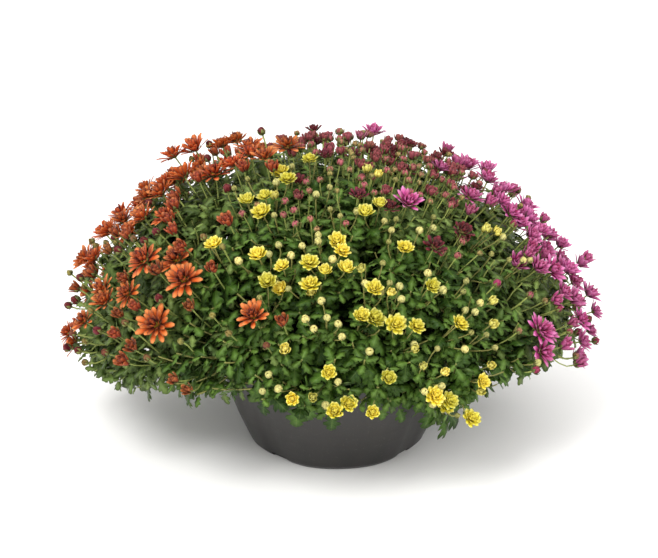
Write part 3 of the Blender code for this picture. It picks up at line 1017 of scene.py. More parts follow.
def leaf_finish(name, deep, light, young):
    """Chrysanthemum leaves: dull and a little downy, with a pale midrib and side veins, greyer
    below, and lighter where they are young."""
    made, tree, shader = new_finish(name, 0.50, 1.38)
    read = {
        field: add(tree, "ShaderNodeAttribute", attribute_name=field).outputs["Fac"]
        for field in ("along", "side", "upper", "tint", "young")
    }
    spot = add(tree, "ShaderNodeTexCoord")
    mottle = add(
        tree, "ShaderNodeTexNoise", {"Vector": spot.outputs["Object"], "Scale": 90.0, "Detail": 3.0}
    )
    share = add(tree, "ShaderNodeMath", {0: mottle.outputs["Fac"], 1: read["tint"]}, operation="ADD")
    half_share = add(
        tree, "ShaderNodeMapRange", {"Value": share, "From Min": 0.45, "From Max": 1.45}
    )
    blade = add(
        tree, "ShaderNodeMix", {"Factor": half_share, "A": linear(deep), "B": linear(light)},
        data_type="RGBA",
    )
    fresh = add(
        tree, "ShaderNodeMix", {"Factor": read["young"], "A": blade, "B": linear(young)},
        data_type="RGBA",
    )
    off = add(tree, "ShaderNodeMath", {0: read["side"]}, operation="ABSOLUTE")
    rib = add(
        tree, "ShaderNodeMapRange",
        {"Value": off, "From Min": 0.006, "From Max": 0.022, "To Min": 1.0, "To Max": 0.0},
    )
    lean = add(tree, "ShaderNodeMath", {0: off, 1: 0.8}, operation="MULTIPLY")
    climb = add(tree, "ShaderNodeMath", {0: read["along"], 1: lean}, operation="SUBTRACT")
    cycle = add(tree, "ShaderNodeMath", {0: climb, 1: 7.0}, operation="MULTIPLY")
    part = add(tree, "ShaderNodeMath", {0: cycle}, operation="FRACT")
    away = add(tree, "ShaderNodeMath", {0: part, 1: 0.5}, operation="SUBTRACT")
    reach = add(tree, "ShaderNodeMath", {0: away}, operation="ABSOLUTE")
    vein = add(
        tree, "ShaderNodeMapRange",
        {"Value": reach, "From Min": 0.02, "From Max": 0.12, "To Min": 0.6, "To Max": 0.0},
    )
    lines = add(tree, "ShaderNodeMath", {0: rib, 1: vein}, operation="MAXIMUM")
    line_share = add(tree, "ShaderNodeMath", {0: lines, 1: 0.24}, operation="MULTIPLY")
    veined = add(
        tree, "ShaderNodeMix", {"Factor": line_share, "A": fresh, "B": linear("#8BA050")},
        data_type="RGBA",
    )
    below = add(tree, "ShaderNodeMath", {0: read["upper"], 1: 0.47}, operation="LESS_THAN")
    below_share = add(tree, "ShaderNodeMath", {0: below, 1: 0.55}, operation="MULTIPLY")
    two_sided = add(
        tree, "ShaderNodeMix", {"Factor": below_share, "A": veined, "B": linear("#667C44")},
        data_type="RGBA",
    )
    tree.links.new(live(two_sided), shader.inputs["Base Color"])
    bump = add(
        tree, "ShaderNodeBump", {"Height": lines, "Strength": 0.5, "Distance": -0.25 * MM}
    )
    tree.links.new(bump.outputs["Normal"], shader.inputs["Normal"])
    glow_through(tree, shader, two_sided, 0.18)
    return made


def stem_finish(name, foot, green):
    """Chrysanthemum stems: firm and finely ridged, brown at the foot and olive green above."""
    made, tree, shader = new_finish(name, 0.55, 1.42)
    read = {
        field: add(tree, "ShaderNodeAttribute", attribute_name=field).outputs["Fac"]
        for field in ("along", "tint")
    }
    share = add(
        tree, "ShaderNodeMapRange", {"Value": read["along"], "From Min": 0.15, "From Max": 0.75}
    )
    aged = add(
        tree, "ShaderNodeMix", {"Factor": share, "A": linear(foot), "B": linear(green)},
        data_type="RGBA",
    )
    value = add(
        tree, "ShaderNodeMapRange", {"Value": read["tint"], "To Min": 0.78, "To Max": 1.15}
    )
    varied = add(tree, "ShaderNodeHueSaturation", {"Color": aged, "Value": value})
    tree.links.new(varied.outputs["Color"], shader.inputs["Base Color"])
    spot = add(tree, "ShaderNodeTexCoord")
    down = add(tree, "ShaderNodeTexNoise", {
        "Vector": spot.outputs["Object"], "Scale": 900.0, "Detail": 2.0,
    })
    bump = add(
        tree, "ShaderNodeBump", {"Height": down.outputs["Fac"], "Strength": 0.3, "Distance": 0.2 * MM}
    )
    tree.links.new(bump.outputs["Normal"], shader.inputs["Normal"])
    return made


def moulded_plastic():
    """Charcoal polypropylene, moulded in a fine-grained tool: a soft sheen, faint upright flow
    marks, and painted light and shade: lighter towards the rim and darker towards the foot."""
    made, tree, shader = new_finish("charcoal_polypropylene", 0.38, 1.49)
    spot = add(tree, "ShaderNodeTexCoord").outputs["Object"]
    stretched = add(tree, "ShaderNodeMapping", {"Vector": spot, "Scale": (1.0, 1.0, 0.12)})
    flow = add(
        tree, "ShaderNodeTexNoise", {"Vector": stretched, "Scale": 45.0, "Detail": 4.0}
    )
    share = add(
        tree, "ShaderNodeMapRange", {"Value": flow.outputs["Fac"], "From Min": 0.35, "From Max": 0.65}
    )
    tone = add(
        tree, "ShaderNodeMix", {"Factor": share, "A": linear("#161412"), "B": linear("#1E1B19")},
        data_type="RGBA",
    )
    height = add(tree, "ShaderNodeSeparateXYZ", {"Vector": spot}).outputs["Z"]
    # Painted light and shade: the colour grows lighter up the wall towards the rim and stays darker at the foot
    painted_light_share = add(
        tree, "ShaderNodeMapRange",
        {"Value": height, "From Min": 0.02, "From Max": BOWL_HEIGHT, "To Min": 0.0, "To Max": 0.8},
    )
    painted_light_tone = add(
        tree, "ShaderNodeMix", {"Factor": painted_light_share, "A": tone, "B": linear("#35322F")},
        data_type="RGBA",
    )
    dust = add(tree, "ShaderNodeTexNoise", {"Vector": spot, "Scale": 320.0, "Detail": 5.0})
    specks = add(
        tree, "ShaderNodeMapRange",
        {"Value": dust.outputs["Fac"], "From Min": 0.60, "From Max": 0.75, "To Max": 0.10},
    )
    dusty = add(
        tree, "ShaderNodeMix", {"Factor": specks, "A": painted_light_tone, "B": linear("#8C867C")},
        data_type="RGBA",
    )
    tree.links.new(live(dusty), shader.inputs["Base Color"])
    grain = add(tree, "ShaderNodeTexNoise", {"Vector": spot, "Scale": 1400.0, "Detail": 2.0})
    bump = add(
        tree, "ShaderNodeBump",
        {"Height": grain.outputs["Fac"], "Strength": 0.25, "Distance": 0.15 * MM},
    )
    tree.links.new(bump.outputs["Normal"], shader.inputs["Normal"])
    return made


def damp_peat():
    """Peat-based potting mix: near-black brown crumbs with paler fibres, and no shine."""
    made, tree, shader = new_finish("peat_potting_mix", 0.95)
    spot = add(tree, "ShaderNodeTexCoord").outputs["Object"]
    crumbs = add(tree, "ShaderNodeTexVoronoi", {"Vector": spot, "Scale": 420.0})
    fibres = add(tree, "ShaderNodeTexNoise", {"Vector": spot, "Scale": 260.0, "Detail": 6.0})
    share = add(
        tree, "ShaderNodeMapRange",
        {"Value": fibres.outputs["Fac"], "From Min": 0.35, "From Max": 0.75},
    )
    tone = add(
        tree, "ShaderNodeMix", {"Factor": share, "A": linear("#20150D"), "B": linear("#5A4028")},
        data_type="RGBA",
    )
    tree.links.new(live(tone), shader.inputs["Base Color"])
    bump = add(
        tree, "ShaderNodeBump",
        {"Height": crumbs.outputs["Distance"], "Strength": 0.8, "Distance": 1.0 * MM},
    )
    tree.links.new(bump.outputs["Normal"], shader.inputs["Normal"])
    return made


def woody_bark():
    """The bark of a chrysanthemum's root collar: grey-brown, dry and split lengthwise."""
    made, tree, shader = new_finish("woody_bark", 0.85)
    spot = add(tree, "ShaderNodeTexCoord").outputs["Object"]
    stretched = add(tree, "ShaderNodeMapping", {"Vector": spot, "Scale": (1.0, 1.0, 0.2)})
    splits = add(tree, "ShaderNodeTexNoise", {"Vector": stretched, "Scale": 380.0, "Detail": 4.0})
    share = add(
        tree, "ShaderNodeMapRange",
        {"Value": splits.outputs["Fac"], "From Min": 0.35, "From Max": 0.65},
    )
    tone = add(
        tree, "ShaderNodeMix", {"Factor": share, "A": linear("#4A3A26"), "B": linear("#8A7550")},
        data_type="RGBA",
    )
    tree.links.new(live(tone), shader.inputs["Base Color"])
    bump = add(
        tree, "ShaderNodeBump",
        {"Height": splits.outputs["Fac"], "Strength": 0.8, "Distance": 0.6 * MM},
    )
    tree.links.new(bump.outputs["Normal"], shader.inputs["Normal"])
    return made


# The bowl, the mix and the crowns

BOWL_STEPS = 128
EDGE_STEPS = 2
WALL_RINGS = 9


def lobe_share(azimuth):
    """The bowl's radius at an azimuth as a share of its full one, with the lobes' edges eased."""
    pitch = 360 / LOBES
    angles, shares = zip(*LOBE_SHAPE)
    total = 0
    for shift in (-1.5, -0.75, 0, 0.75, 1.5):
        from_middle = abs((azimuth + shift - LOBE_TURN + pitch / 2) % pitch - pitch / 2)
        total += float(np.interp(from_middle, angles, shares))
    return total / 5


def wall_radius(height):
    """The outer radius of the bowl's wall, which rises steeply and leans out less to the lip."""
    share = (height - CORNER) / (BOWL_HEIGHT - CORNER)
    bulge = WALL_BULGE * math.sin(math.pi * share)
    return FOOT_RADIUS + (RIM_RADIUS - LIP_WIDTH - FOOT_RADIUS) * (share + bulge)


def eased(points, radius):
    """An outline of radius and height with each of its inner corners rounded."""
    made = [Vector(points[0])]
    for before, corner, after in zip(points, points[1:], points[2:]):
        corner = Vector(corner)
        ways = [Vector(side) - corner for side in (before, after)]
        cut = min(radius, *(0.45 * way.length for way in ways))
        start, end = (corner + cut * way.normalized() for way in ways)
        for step in range(EDGE_STEPS + 1):
            share = step / EDGE_STEPS
            made.append(start.lerp(corner, share).lerp(corner.lerp(end, share), share))
    return made + [Vector(points[-1])]


def turned(name, outline, steps=BOWL_STEPS, lobed=True):
    """A closed turned mesh from an outline that starts and ends on the axis."""
    rings = [(point.x, point.y) for point in outline[1:-1]]
    places = []
    for radius, height in rings:
        for step in range(steps):
            azimuth = 360 * step / steps
            share = lobe_share(azimuth) if lobed else 1
            places.append(compass(azimuth, radius * share, height))
    faces = []
    for ring in range(len(rings) - 1):
        for step in range(steps):
            after = (step + 1) % steps
            first, second = ring * steps, (ring + 1) * steps
            faces.append((first + step, first + after, second + after, second + step))
    for pole, ring in ((outline[0], 0), (outline[-1], len(rings) - 1)):
        middle = len(places)
        places.append(Vector((0, 0, pole.y)))
        for step in range(steps):
            faces.append((middle, ring * steps + step, ring * steps + (step + 1) % steps))
    mesh = bpy.data.meshes.new(name)
    mesh.from_pydata(places, [], faces)
    shape = bmesh.new()
    shape.from_mesh(mesh)
    return finished_mesh(shape, name)


def bowl_outline():
    """The bowl from under its floor, up the outside, round the lip and down the inside."""
    lip_foot = BOWL_HEIGHT - LIP_DROP
    corners = [(0, 0), (FOOT_RADIUS - CORNER, 0), (wall_radius(CORNER), CORNER)]
    outer = [(wall_radius(height), height) for height in np.linspace(2 * CORNER, lip_foot, WALL_RINGS)]
    lip = [
        (RIM_RADIUS - LIP_WIDTH, BOWL_HEIGHT - WALL),
        (RIM_RADIUS - WALL, BOWL_HEIGHT - WALL),
        (RIM_RADIUS - WALL, lip_foot),
        (RIM_RADIUS, lip_foot),
        (RIM_RADIUS, BOWL_HEIGHT),
        (RIM_RADIUS - LIP_WIDTH - WALL, BOWL_HEIGHT),
    ]
    inner = [(radius - WALL, height) for radius, height in reversed(outer)]
    floor = [(FOOT_RADIUS - CORNER, WALL), (0, WALL)]
    return eased(corners + outer + lip + inner + floor, 1.0 * MM)


def foot_cutters():
    """The notches in the foot's edge and the drain holes in the floor."""
    shape = bmesh.new()
    for lobe in range(LOBES):
        azimuth = LOBE_TURN + 360 / LOBES * (lobe + 0.5)
        place = Matrix.Translation(compass(azimuth, FOOT_RADIUS))
        place @= Matrix.Rotation(math.radians(azimuth), 4, "Z")
        place @= Matrix.Diagonal((NOTCH_WIDTH, 2 * NOTCH_REACH, 2 * NOTCH_HEIGHT, 1))
        block = bmesh.ops.create_cube(shape, size=1, matrix=place)
        edges = {edge for corner in block["verts"] for edge in corner.link_edges}
        bmesh.ops.bevel(
            shape, geom=list(edges), offset=2.5 * MM, segments=4, affect="EDGES", profile=0.5
        )
    for hole in range(DRAIN_HOLES):
        bmesh.ops.create_cone(
            shape,
            cap_ends=True,
            segments=24,
            radius1=DRAIN_RADIUS,
            radius2=DRAIN_RADIUS,
            depth=4 * WALL,
            matrix=Matrix.Translation(compass(360 * hole / DRAIN_HOLES, DRAIN_CIRCLE)),
        )
    return shape


def piece(name, mesh, finish, slot, *replaced):
    """One piece of the object, which stands for the frame's nodes that it replaces."""
    made = bpy.data.objects.new(name, mesh)
    mesh.name = name
    bpy.context.scene.collection.objects.link(made)
    mesh.materials.clear()
    mesh.materials.append(finish)
    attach(made, "root")
    if replaced:
        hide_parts(*replaced)
    return made


def make_bowl():
    shell = bpy.data.objects.new("shell", turned("shell", bowl_outline()))
    cutter = bpy.data.objects.new("foot_cutter", finished_mesh(foot_cutters(), "foot_cutter"))
    for each in (shell, cutter):
        bpy.context.scene.collection.objects.link(each)
    cut = shell.modifiers.new("Foot", "BOOLEAN")
    cut.operation = "DIFFERENCE"
    cut.object = cutter
    graph = bpy.context.evaluated_depsgraph_get()
    graph.update()
    mesh = bpy.data.meshes.new_from_object(shell.evaluated_get(graph), depsgraph=graph)
    for each in (shell, cutter):
        bpy.data.objects.remove(each)
    mesh.shade_smooth()
    mesh.set_sharp_from_angle(angle=math.radians(32))
    piece("bowl_shell", mesh, moulded_plastic(), "bowl_plastic", "bowl")


def make_mix():
    """The mix, level but crumbly on top."""
    inset = WALL + SOIL_CLEARANCE
    floor = WALL + 0.5 * MM
    rim = wall_radius(SOIL_LEVEL) - inset
    outline = [Vector((0, SOIL_LEVEL))]
    outline += [Vector((rim * ring / 26, SOIL_LEVEL)) for ring in range(1, 27)]
    outline += [Vector((wall_radius(height) - inset, height)) for height in (0.09, 0.06, 0.03, 0.01)]
    outline += [Vector((FOOT_RADIUS - CORNER - inset, floor)), Vector((0, floor))]
    mesh = turned("mix", outline, 120)
    for corner in mesh.vertices:
        if corner.co.z > SOIL_LEVEL - MM:
            coarse = noise.noise(corner.co * 55)
            fine = noise.noise(corner.co * 210)
            corner.co.z += 1.8 * MM * coarse + 1.4 * MM * fine
    mesh.shade_smooth()
    piece("potting_mix_surface", mesh, damp_peat(), "potting_mix", "potting_mix")


def make_crown(plant, bark):
    """A plant's root collar, swollen at its foot and rough all over."""
    outline = [
        Vector((radius * CROWN_RADIUS, SOIL_LEVEL + height * MM))
        for radius, height in (
            (0, -15), (0.7, -15), (1.0, -10), (1.0, -3), (0.98, 0), (0.85, 4), (0.74, 8),
            (0.70, 12), (0.68, 15), (0.45, 17.5), (0, 18.5),
        )
    ]
    mesh = turned(plant + "_crown", outline, 24, lobed=False)
    for corner in mesh.vertices:
        rough = 1 + 0.10 * noise.noise(corner.co * 420) + 0.06 * noise.noise(corner.co * 1100)
        corner.co.x *= rough
        corner.co.y *= rough
    mesh.transform(Matrix.Translation(compass(CROWN_AZIMUTHS[plant], CROWN_CIRCLE)))
    mesh.shade_smooth()
    piece(plant + "_root_collar", mesh, bark, "woody_stem", plant + "_crown")


# Leaf shapes: along the leaf and out from its midrib as shares of its length, and the point of
# the midrib that each joins
MIDRIB = (0.0, 0.23, 0.44, 0.70, 1.0)
LOBED_SIDE = (
    (0.00, 0.014, 0), (0.20, 0.022, 1), (0.29, 0.200, 1), (0.40, 0.290, 1), (0.43, 0.130, 2),
    (0.55, 0.320, 2), (0.69, 0.350, 2), (0.71, 0.160, 3), (0.84, 0.220, 3), (0.95, 0.110, 3),
)
BROAD_SIDE = (
    (0.00, 0.014, 0), (0.15, 0.022, 1), (0.23, 0.240, 1), (0.35, 0.360, 1), (0.42, 0.160, 2),
    (0.54, 0.390, 2), (0.68, 0.410, 2), (0.72, 0.190, 3), (0.84, 0.250, 3), (0.95, 0.110, 3),
)
SMALL_MIDRIB = (0.0, 0.22, 0.60, 1.0)
SMALL_SIDE = (
    (0.00, 0.016, 0), (0.20, 0.045, 1), (0.38, 0.290, 1), (0.48, 0.180, 2), (0.69, 0.340, 2),
    (0.76, 0.210, 2), (0.93, 0.130, 2),
)
LEAF_THICKNESS = 0.018


def leaf_mesh(name, midrib, side, fold, arch, twist):
    """A thin closed leaf of length 1 along +X: folded up from its midrib, arched and twisted."""
    shape = bmesh.new()
    fields = {field: shape.verts.layers.float.new(field) for field in ("along", "side", "upper")}

    def corner(along, out, lift, upper):
        roll = twist * along
        height = fold * abs(out) - arch * along ** 2 - 0.9 * out ** 2 + lift + roll * out
        made = shape.verts.new((along, out, height))
        made[fields["along"]] = along
        made[fields["side"]] = out
        made[fields["upper"]] = upper
        return made

    half = LEAF_THICKNESS / 2
    tip = corner(1.0, 0.0, 0.0, 0.5)
    faces_of_rib = {}
    for upper, lift in ((1.0, half), (0.0, -half)):
        faces_of_rib[upper] = [corner(along, 0.0, lift, upper) for along in midrib[:-1]] + [tip]
    for turn in (1, -1):
        edge = [(corner(along, turn * out, 0.0, 0.5), rib) for along, out, rib in side]
        edge.append((tip, len(midrib) - 1))
        for rib_line in faces_of_rib.values():
            for (here, rib), (after, next_rib) in zip(edge, edge[1:]):
                if after is not tip:
                    shape.faces.new((rib_line[rib], here, after))
                if next_rib > rib:
                    last = here if after is tip else after
                    shape.faces.new((rib_line[rib], last, rib_line[next_rib]))
        foot = edge[0][0]
        shape.faces.new((faces_of_rib[1.0][0], foot, faces_of_rib[0.0][0]))
    return finished_mesh(shape, name)


def leaf_shapes():
    """Four lobed leaves that hang and fold in their own ways, and two small young ones."""
    return [
        leaf_mesh("leaf", MIDRIB, LOBED_SIDE, 0.22, 0.10, 0.10),
        leaf_mesh("leaf", MIDRIB, BROAD_SIDE, 0.14, 0.20, -0.18),
        leaf_mesh("leaf", MIDRIB, LOBED_SIDE, 0.28, 0.26, 0.20),
        leaf_mesh("leaf", MIDRIB, BROAD_SIDE, 0.18, 0.04, 0.15),
        leaf_mesh("leaf", SMALL_MIDRIB, SMALL_SIDE, 0.20, 0.10, 0.10),
        leaf_mesh("leaf", SMALL_MIDRIB, SMALL_SIDE, 0.12, 0.26, -0.15),
    ]


CORE_SIDES = 6


def core_mesh(name, radius, foot, height, rank):
    """The closed knob in the middle of a head, from foot up to height."""
    outline = [Vector((0, foot))]
    for share in (0.12, 0.40, 0.70):
        angle = math.pi * share
        outline.append(Vector((
            radius * math.sin(angle), foot + (height - foot) * (1 - math.cos(angle)) / 2
        )))
    outline.append(Vector((0, height)))
    mesh = turned(name, outline, CORE_SIDES, lobed=False)
    for field, value in (("rank", rank), ("along", 0.3), ("upper", 1.0), ("across", 0.0)):
        layer = mesh.attributes.new(field, "FLOAT", "POINT")
        layer.data.foreach_set("value", [value] * len(mesh.vertices))
    return mesh


def blend_pair(pair, share):
    return pair[0] + (pair[1] - pair[0]) * share


def head_shapes(kind, tree, finish):
    """The ways in which one plant's heads look at one stage, from flat to more cupped."""
    head = HEADS[kind]
    stage = kind[1]
    shares = [count / (PETAL_KINDS - 1) for count in range(PETAL_KINDS)]
    outer_rings = POINTED_RINGS if kind[0] in POINTED_PLANTS else OUTER_RINGS
    petals = shelf("petals", [
        petal_mesh(
            "petal", blend_pair(head.length, share) * MM, blend_pair(head.width, share) * MM,
            blend_pair(head.curl, share), PETAL_CUP, outer_rings if share < 0.6 else INNER_RINGS,
            share < 0.6 and stage != "bud",
        )
        for share in shares
    ])
    seat_radius, seat_height = (size * MM for size in head.seat)
    made = []
    for variant in range(HEAD_VARIANTS):
        cupped = {"open": 9, "half": 4, "bud": 1}[stage] * variant
        core = core_mesh("core", 0.9 * seat_radius, 0.0, seat_height + 1.5 * MM, 2.0)
        if stage == "bud":
            core = core_mesh("core", 0.34 * head.length[0] * MM, 0.0, 0.70 * head.length[0] * MM, 2.0)
        made.append(grown(
            "head", core, tree, Petals=petals, Count=head.petals, Kinds=PETAL_KINDS,
            OuterRise=math.radians(head.rise[0] + cupped), InnerRise=math.radians(head.rise[1]),
            SeatRadius=seat_radius, InnerRadius=INNER_SEAT[stage] * seat_radius,
            SeatHeight=seat_height, Looseness=math.radians(head.looseness), Fullness=FULLNESS[stage],
            Seed=variant * 7 + len(kind[0]), Finish=finish,
        ))
    clear_shelf(petals)
    return made


# The green bracts that hold a head's petals: length, rise and curl at each stage
BRACTS = {"bud": (7.6, 30, 84), "half": (7.6, 30, 66), "open": (7.0, 10, 60)}
BRACT_COUNT = 8
BRACT_WIDTH = 4.2
BRACT_SEAT = (3.6, 1.0)
BRACT_SIZE = {"bronze": 1.0, "yellow": 0.84, "magenta": 1.05, "burgundy": 0.92}


def bract_shapes(stage, tree, finish):
    length, rise, curl = BRACTS[stage]
    bracts = shelf("bracts", [
        petal_mesh("bract", share * length * MM, BRACT_WIDTH * MM, curl, 0.25, BRACT_RINGS, False)
        for share in (1.0, 0.8)
    ])
    cup = core_mesh("cup", 4.4 * MM, -0.8 * MM, 3.6 * MM, 0.0)
    made = grown(
        "cup", cup, tree, Petals=bracts, Count=BRACT_COUNT, Kinds=2, OuterRise=math.radians(rise),
        InnerRise=math.radians(rise + 14), SeatRadius=BRACT_SEAT[0] * MM,
        InnerRadius=0.5 * BRACT_SEAT[0] * MM, SeatHeight=BRACT_SEAT[1] * MM, Looseness=math.radians(5),
        Fullness=1.0, Seed=3, Finish=finish,
    )
    clear_shelf(bracts)
    return made


def bract_finish():
    """Green bracts round a head: dull olive green with thin pale dry edges."""
    made, tree, shader = new_finish("green_bracts", 0.58, 1.42)
    read = {
        field: add(tree, "ShaderNodeAttribute", attribute_name=field).outputs["Fac"]
        for field in ("along", "across", "tint")
    }
    off = add(tree, "ShaderNodeMath", {0: read["across"]}, operation="ABSOLUTE")
    edge = add(
        tree, "ShaderNodeMapRange",
        {"Value": off, "From Min": 0.6, "From Max": 1.0, "To Min": 0.0, "To Max": 0.5},
    )
    green = add(
        tree, "ShaderNodeMix", {"Factor": read["tint"], "A": linear("#484E20"), "B": linear("#74783C")},
        data_type="RGBA",
    )
    edged = add(
        tree, "ShaderNodeMix", {"Factor": edge, "A": green, "B": linear("#968A50")},
        data_type="RGBA",
    )
    tree.links.new(live(edged), shader.inputs["Base Color"])
    return made


def stems_mesh(name, stems, chance):
    """The middle lines of stems, with how thick and how old each is along its way."""
    reach = {
        "main": (0.0, 0.75), "shoot": (0.45, 0.85), "stalk": (0.8, 1.0), "leafy": (0.8, 1.0),
        "rim": (0.6, 1.0),
    }
    places, edges, thickness, along, tint = [], [], [], [], []
    for stem in stems:
        first = len(places)
        count = len(stem.points)
        places += stem.points
        edges += [(first + step, first + step + 1) for step in range(count - 1)]
        thickness += stem.radii
        along += list(np.linspace(*reach[stem.kind], count))
        tint += [chance.random()] * count
    mesh = points_mesh(name, places, thickness=thickness, along=along, tint=tint)
    mesh.edges.add(len(edges))
    mesh.edges.foreach_set("vertices", np.array(edges).ravel())
    mesh.update()
    return mesh


def heads_mesh(name, blooms, size, variants, chance):
    """Where heads of one kind sit, which way each faces, and how it differs from the others."""
    turns = []
    for bloom in blooms:
        spin = Matrix.Rotation(chance.uniform(0, 2 * math.pi), 3, "Z")
        turns.append(tuple((bloom.way.to_track_quat("Z", "Y").to_matrix() @ spin).to_euler()))
    return points_mesh(
        name, [seat(bloom) for bloom in blooms], turn=turns,
        size=[size * bloom.size for bloom in blooms],
        kind=[chance.randrange(variants) for _ in blooms],
        tint=[chance.random() for _ in blooms],
        open=[OPENNESS[bloom.stage] for bloom in blooms],
        young=[float(np.interp(-bloom.size, (-GREEN_BUD[0], -GREEN_BUD[1]), (0, 1))) for bloom in blooms],
    )


# The foot, blade, tip, heart, bud and back of the petals, the eye in the middle, and how much light
# they let through
PETALS = {
    "bronze": ("#96300F", "#DE5E18", "#F69A56", "#6E160C", "#6C1C26", "#C8561E", "#B08A20", 0.28),
    "yellow": ("#FFF04C", "#FFF452", "#FFFAA4", "#FDEC48", "#F7F0A4", "#FDF270", "#8A6A18", 0.52),
    "magenta": ("#AA2C68", "#D44E9C", "#F09CCC", "#B83068", "#A43458", "#D078AE", "#6E3A30", 0.28),
    "burgundy": ("#3E0A10", "#64121C", "#80283A", "#420A10", "#AC5C5C", "#7C2C36", "#A08050", 0.18),
}
LEAVES = {   # deep, light and young leaves
    "bronze": ("#34491E", "#647C38", "#8CA052"),
    "yellow": ("#25430E", "#4A6C22", "#6C8C34"),
    "magenta": ("#34491E", "#647C38", "#8AA04E"),
    "burgundy": ("#34491E", "#68823A", "#94A858"),
}
STALKS = {   # the foot and the green of stems and stalks
    "bronze": ("#5A4E28", "#8E9A50"),
    "yellow": ("#54441F", "#8C8A4C"),
    "magenta": ("#5A5028", "#909A50"),
    "burgundy": ("#5A5028", "#98A256"),
}
STAGE_NAMES = {"bud": "buds", "half": "half_open_heads", "open": "open_heads"}
SPENT_FIELDS = ("turn", "size", "kind", "thickness", "rank_of")


def plain(mesh):
    """A mesh without the fields that only its tree used."""
    for field in SPENT_FIELDS:
        if field in mesh.attributes:
            mesh.attributes.remove(mesh.attributes[field])
    return mesh


def make_plant(plant, blooms, tufts, leaf_kinds, trees, bracts, chance):
    """One plant: its stems, leaves, stalks, and its heads at each stage."""
    count = len(BRANCHES[plant])
    branches = [f"{plant}_branch_{number + 1}" for number in range(count)]
    sprays = [f"{plant}_spray_{number + 1}" for number in range(count)]
    mains = [main_stem(plant, down, azimuth) for down, azimuth in BRANCHES[plant]]
    hubs = hubs_for(blooms, mains, plant, chance)
    shoots = [shoot_to(hub, mains) for hub in hubs[len(mains):]]
    stalks = [stalk_to(bloom, hubs) for bloom in blooms]
    leafy = [tuft_shoot(tuft, hubs) for tuft in tufts["dome"] if tuft.plant == plant]
    hung = [(tuft, rim_shoot(tuft, mains)) for tuft in tufts["rim"] if tuft.plant == plant]
    hung = [(tuft, shoot) for tuft, shoot in hung if shoot]
    leafy += [shoot for tuft, shoot in hung]

    green = stem_finish(plant + "_stem", *STALKS[plant])
    for name, lines, sides, slot, replaced in (
        ("stems", mains + shoots + leafy, 5, "foliage", branches),
        ("stalks", stalks, 5, "foliage", sprays),
    ):
        mesh = stems_mesh(name, lines, chance)
        solid = grown(f"{plant}_{name}", mesh, trees["stems"], Sides=sides, Finish=green)
        piece(f"{plant}_{name}", plain(solid), green, slot, *replaced)

    leaves = [leaf for stem in mains + shoots + leafy + stalks for leaf in leaves_on(stem, plant, chance)]
    leaves += [end_leaf(tuft, chance) for tuft, shoot in hung]
    blade = leaf_finish(plant + "_leaf", *LEAVES[plant])
    spots = points_mesh(
        "leaves", [leaf.place for leaf in leaves], turn=[tuple(leaf.turn) for leaf in leaves],
        size=[leaf.size for leaf in leaves], kind=[leaf.kind for leaf in leaves],
        tint=[chance.random() for _ in leaves],
        young=[min(1, max(0, 1.0 - leaf.size / (26 * MM))) for leaf in leaves],
    )
    solid = grown(plant + "_leaves", spots, trees["scatter"], Shapes=leaf_kinds, Finish=blade)
    piece(plant + "_leaves", plain(solid), blade, "foliage", *branches)

    colour = petal_finish(plant + "_petal", *PETALS[plant])
    for stage in STAGES:
        mine = [bloom for bloom in blooms if bloom.stage == stage]
        heads = shelf("heads", head_shapes((plant, stage), trees["flower"], colour))
        spots = heads_mesh("heads", mine, 1.0, HEAD_VARIANTS, chance)
        solid = grown("heads", spots, trees["scatter"], Shapes=heads, Finish=colour)
        clear_shelf(heads)
        piece(f"{plant}_{STAGE_NAMES[stage]}", plain(solid), colour, plant + "_petals", *sprays)

    cups = shelf("cups", [bracts[stage] for stage in STAGES])
    turned_heads = heads_mesh("cups", blooms, BRACT_SIZE[plant], 1, chance)
    kinds = [STAGES.index(bloom.stage) for bloom in blooms]
    turned_heads.attributes["kind"].data.foreach_set("value", kinds)
    solid = grown("cups", turned_heads, trees["scatter"], Shapes=cups, Finish=bracts["finish"])
    clear_shelf(cups)
    piece(plant + "_bracts", plain(solid), bracts["finish"], "foliage", *sprays)


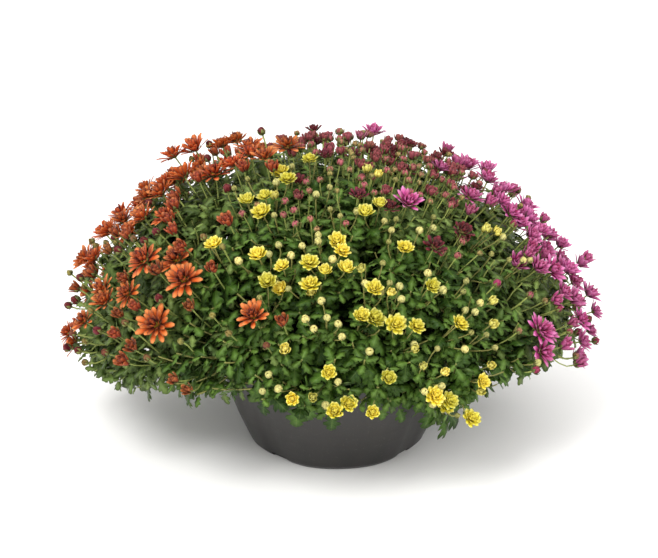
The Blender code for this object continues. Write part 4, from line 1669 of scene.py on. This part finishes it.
def make_plants():
    chance = random.Random(20)
    blooms = fill_blooms(seen_blooms(chance), chance)
    tufts = {"dome": dome_tufts(chance), "rim": rim_tufts(chance)}
    trees = {"stems": stem_tree(), "scatter": scatter_tree(), "flower": flower_tree()}
    bracts = {"finish": bract_finish()}
    for stage in STAGES:
        bracts[stage] = bract_shapes(stage, trees["flower"], bracts["finish"])
    leaf_kinds = shelf("leaf_shapes", leaf_shapes())
    bark = woody_bark()
    for plant in PLANTS:
        mine = [bloom for bloom in blooms if bloom.plant == plant]
        make_crown(plant, bark)
        make_plant(plant, mine, tufts, leaf_kinds, trees, bracts, chance)
    clear_shelf(leaf_kinds)


# The floor, the light and the camera

def make_floor():
    """A wide, plain, pale floor."""
    mesh = bpy.data.meshes.new("floor")
    half = 14.0
    mesh.from_pydata([(-half, -half, 0), (half, -half, 0), (half, half, 0), (-half, half, 0)], [], [(0, 1, 2, 3)])
    floor = bpy.data.objects.new("floor", mesh)
    bpy.context.scene.collection.objects.link(floor)
    made, tree, shader = new_finish("pale_studio_floor", 0.8)
    shader.inputs["Base Color"].default_value = linear("#F3F2F0")
    mesh.materials.append(made)


def make_light():
    """Soft white studio light: a pale room, a wide lamp high on the left and a weaker one right."""
    world = bpy.data.worlds.new("pale_room")
    world.use_nodes = True
    world.node_tree.nodes["Background"].inputs["Color"].default_value = linear("#FFFFFF")
    world.node_tree.nodes["Background"].inputs["Strength"].default_value = 1.2
    bpy.context.scene.world = world
    for name, place, size, power in (
        ("key", Vector((-1.3, -1.8, 2.9)), 1.6, 92),
        ("fill", Vector((2.4, -1.2, 1.9)), 2.2, 34),
    ):
        lamp = bpy.data.lights.new(name, "AREA")
        lamp.size = size
        lamp.energy = power
        holder = bpy.data.objects.new(name, lamp)
        holder.location = place
        holder.rotation_euler = (place - Vector((0, 0, 0.2))).to_track_quat("Z", "Y").to_euler()
        bpy.context.scene.collection.objects.link(holder)
    bpy.context.scene.view_settings.view_transform = "Standard"


def make_camera():
    lens = bpy.data.cameras.new("camera")
    lens.sensor_width = SENSOR_WIDTH
    lens.lens = FOCAL_PIXELS / IMAGE_WIDTH * SENSOR_WIDTH
    holder = bpy.data.objects.new("camera", lens)
    holder.location = CAMERA_PLACE
    holder.rotation_euler = camera_turn().to_euler()
    bpy.context.scene.collection.objects.link(holder)
    bpy.context.scene.camera = holder


make_camera()
make_light()
make_floor()
make_bowl()
make_mix()
make_plants()
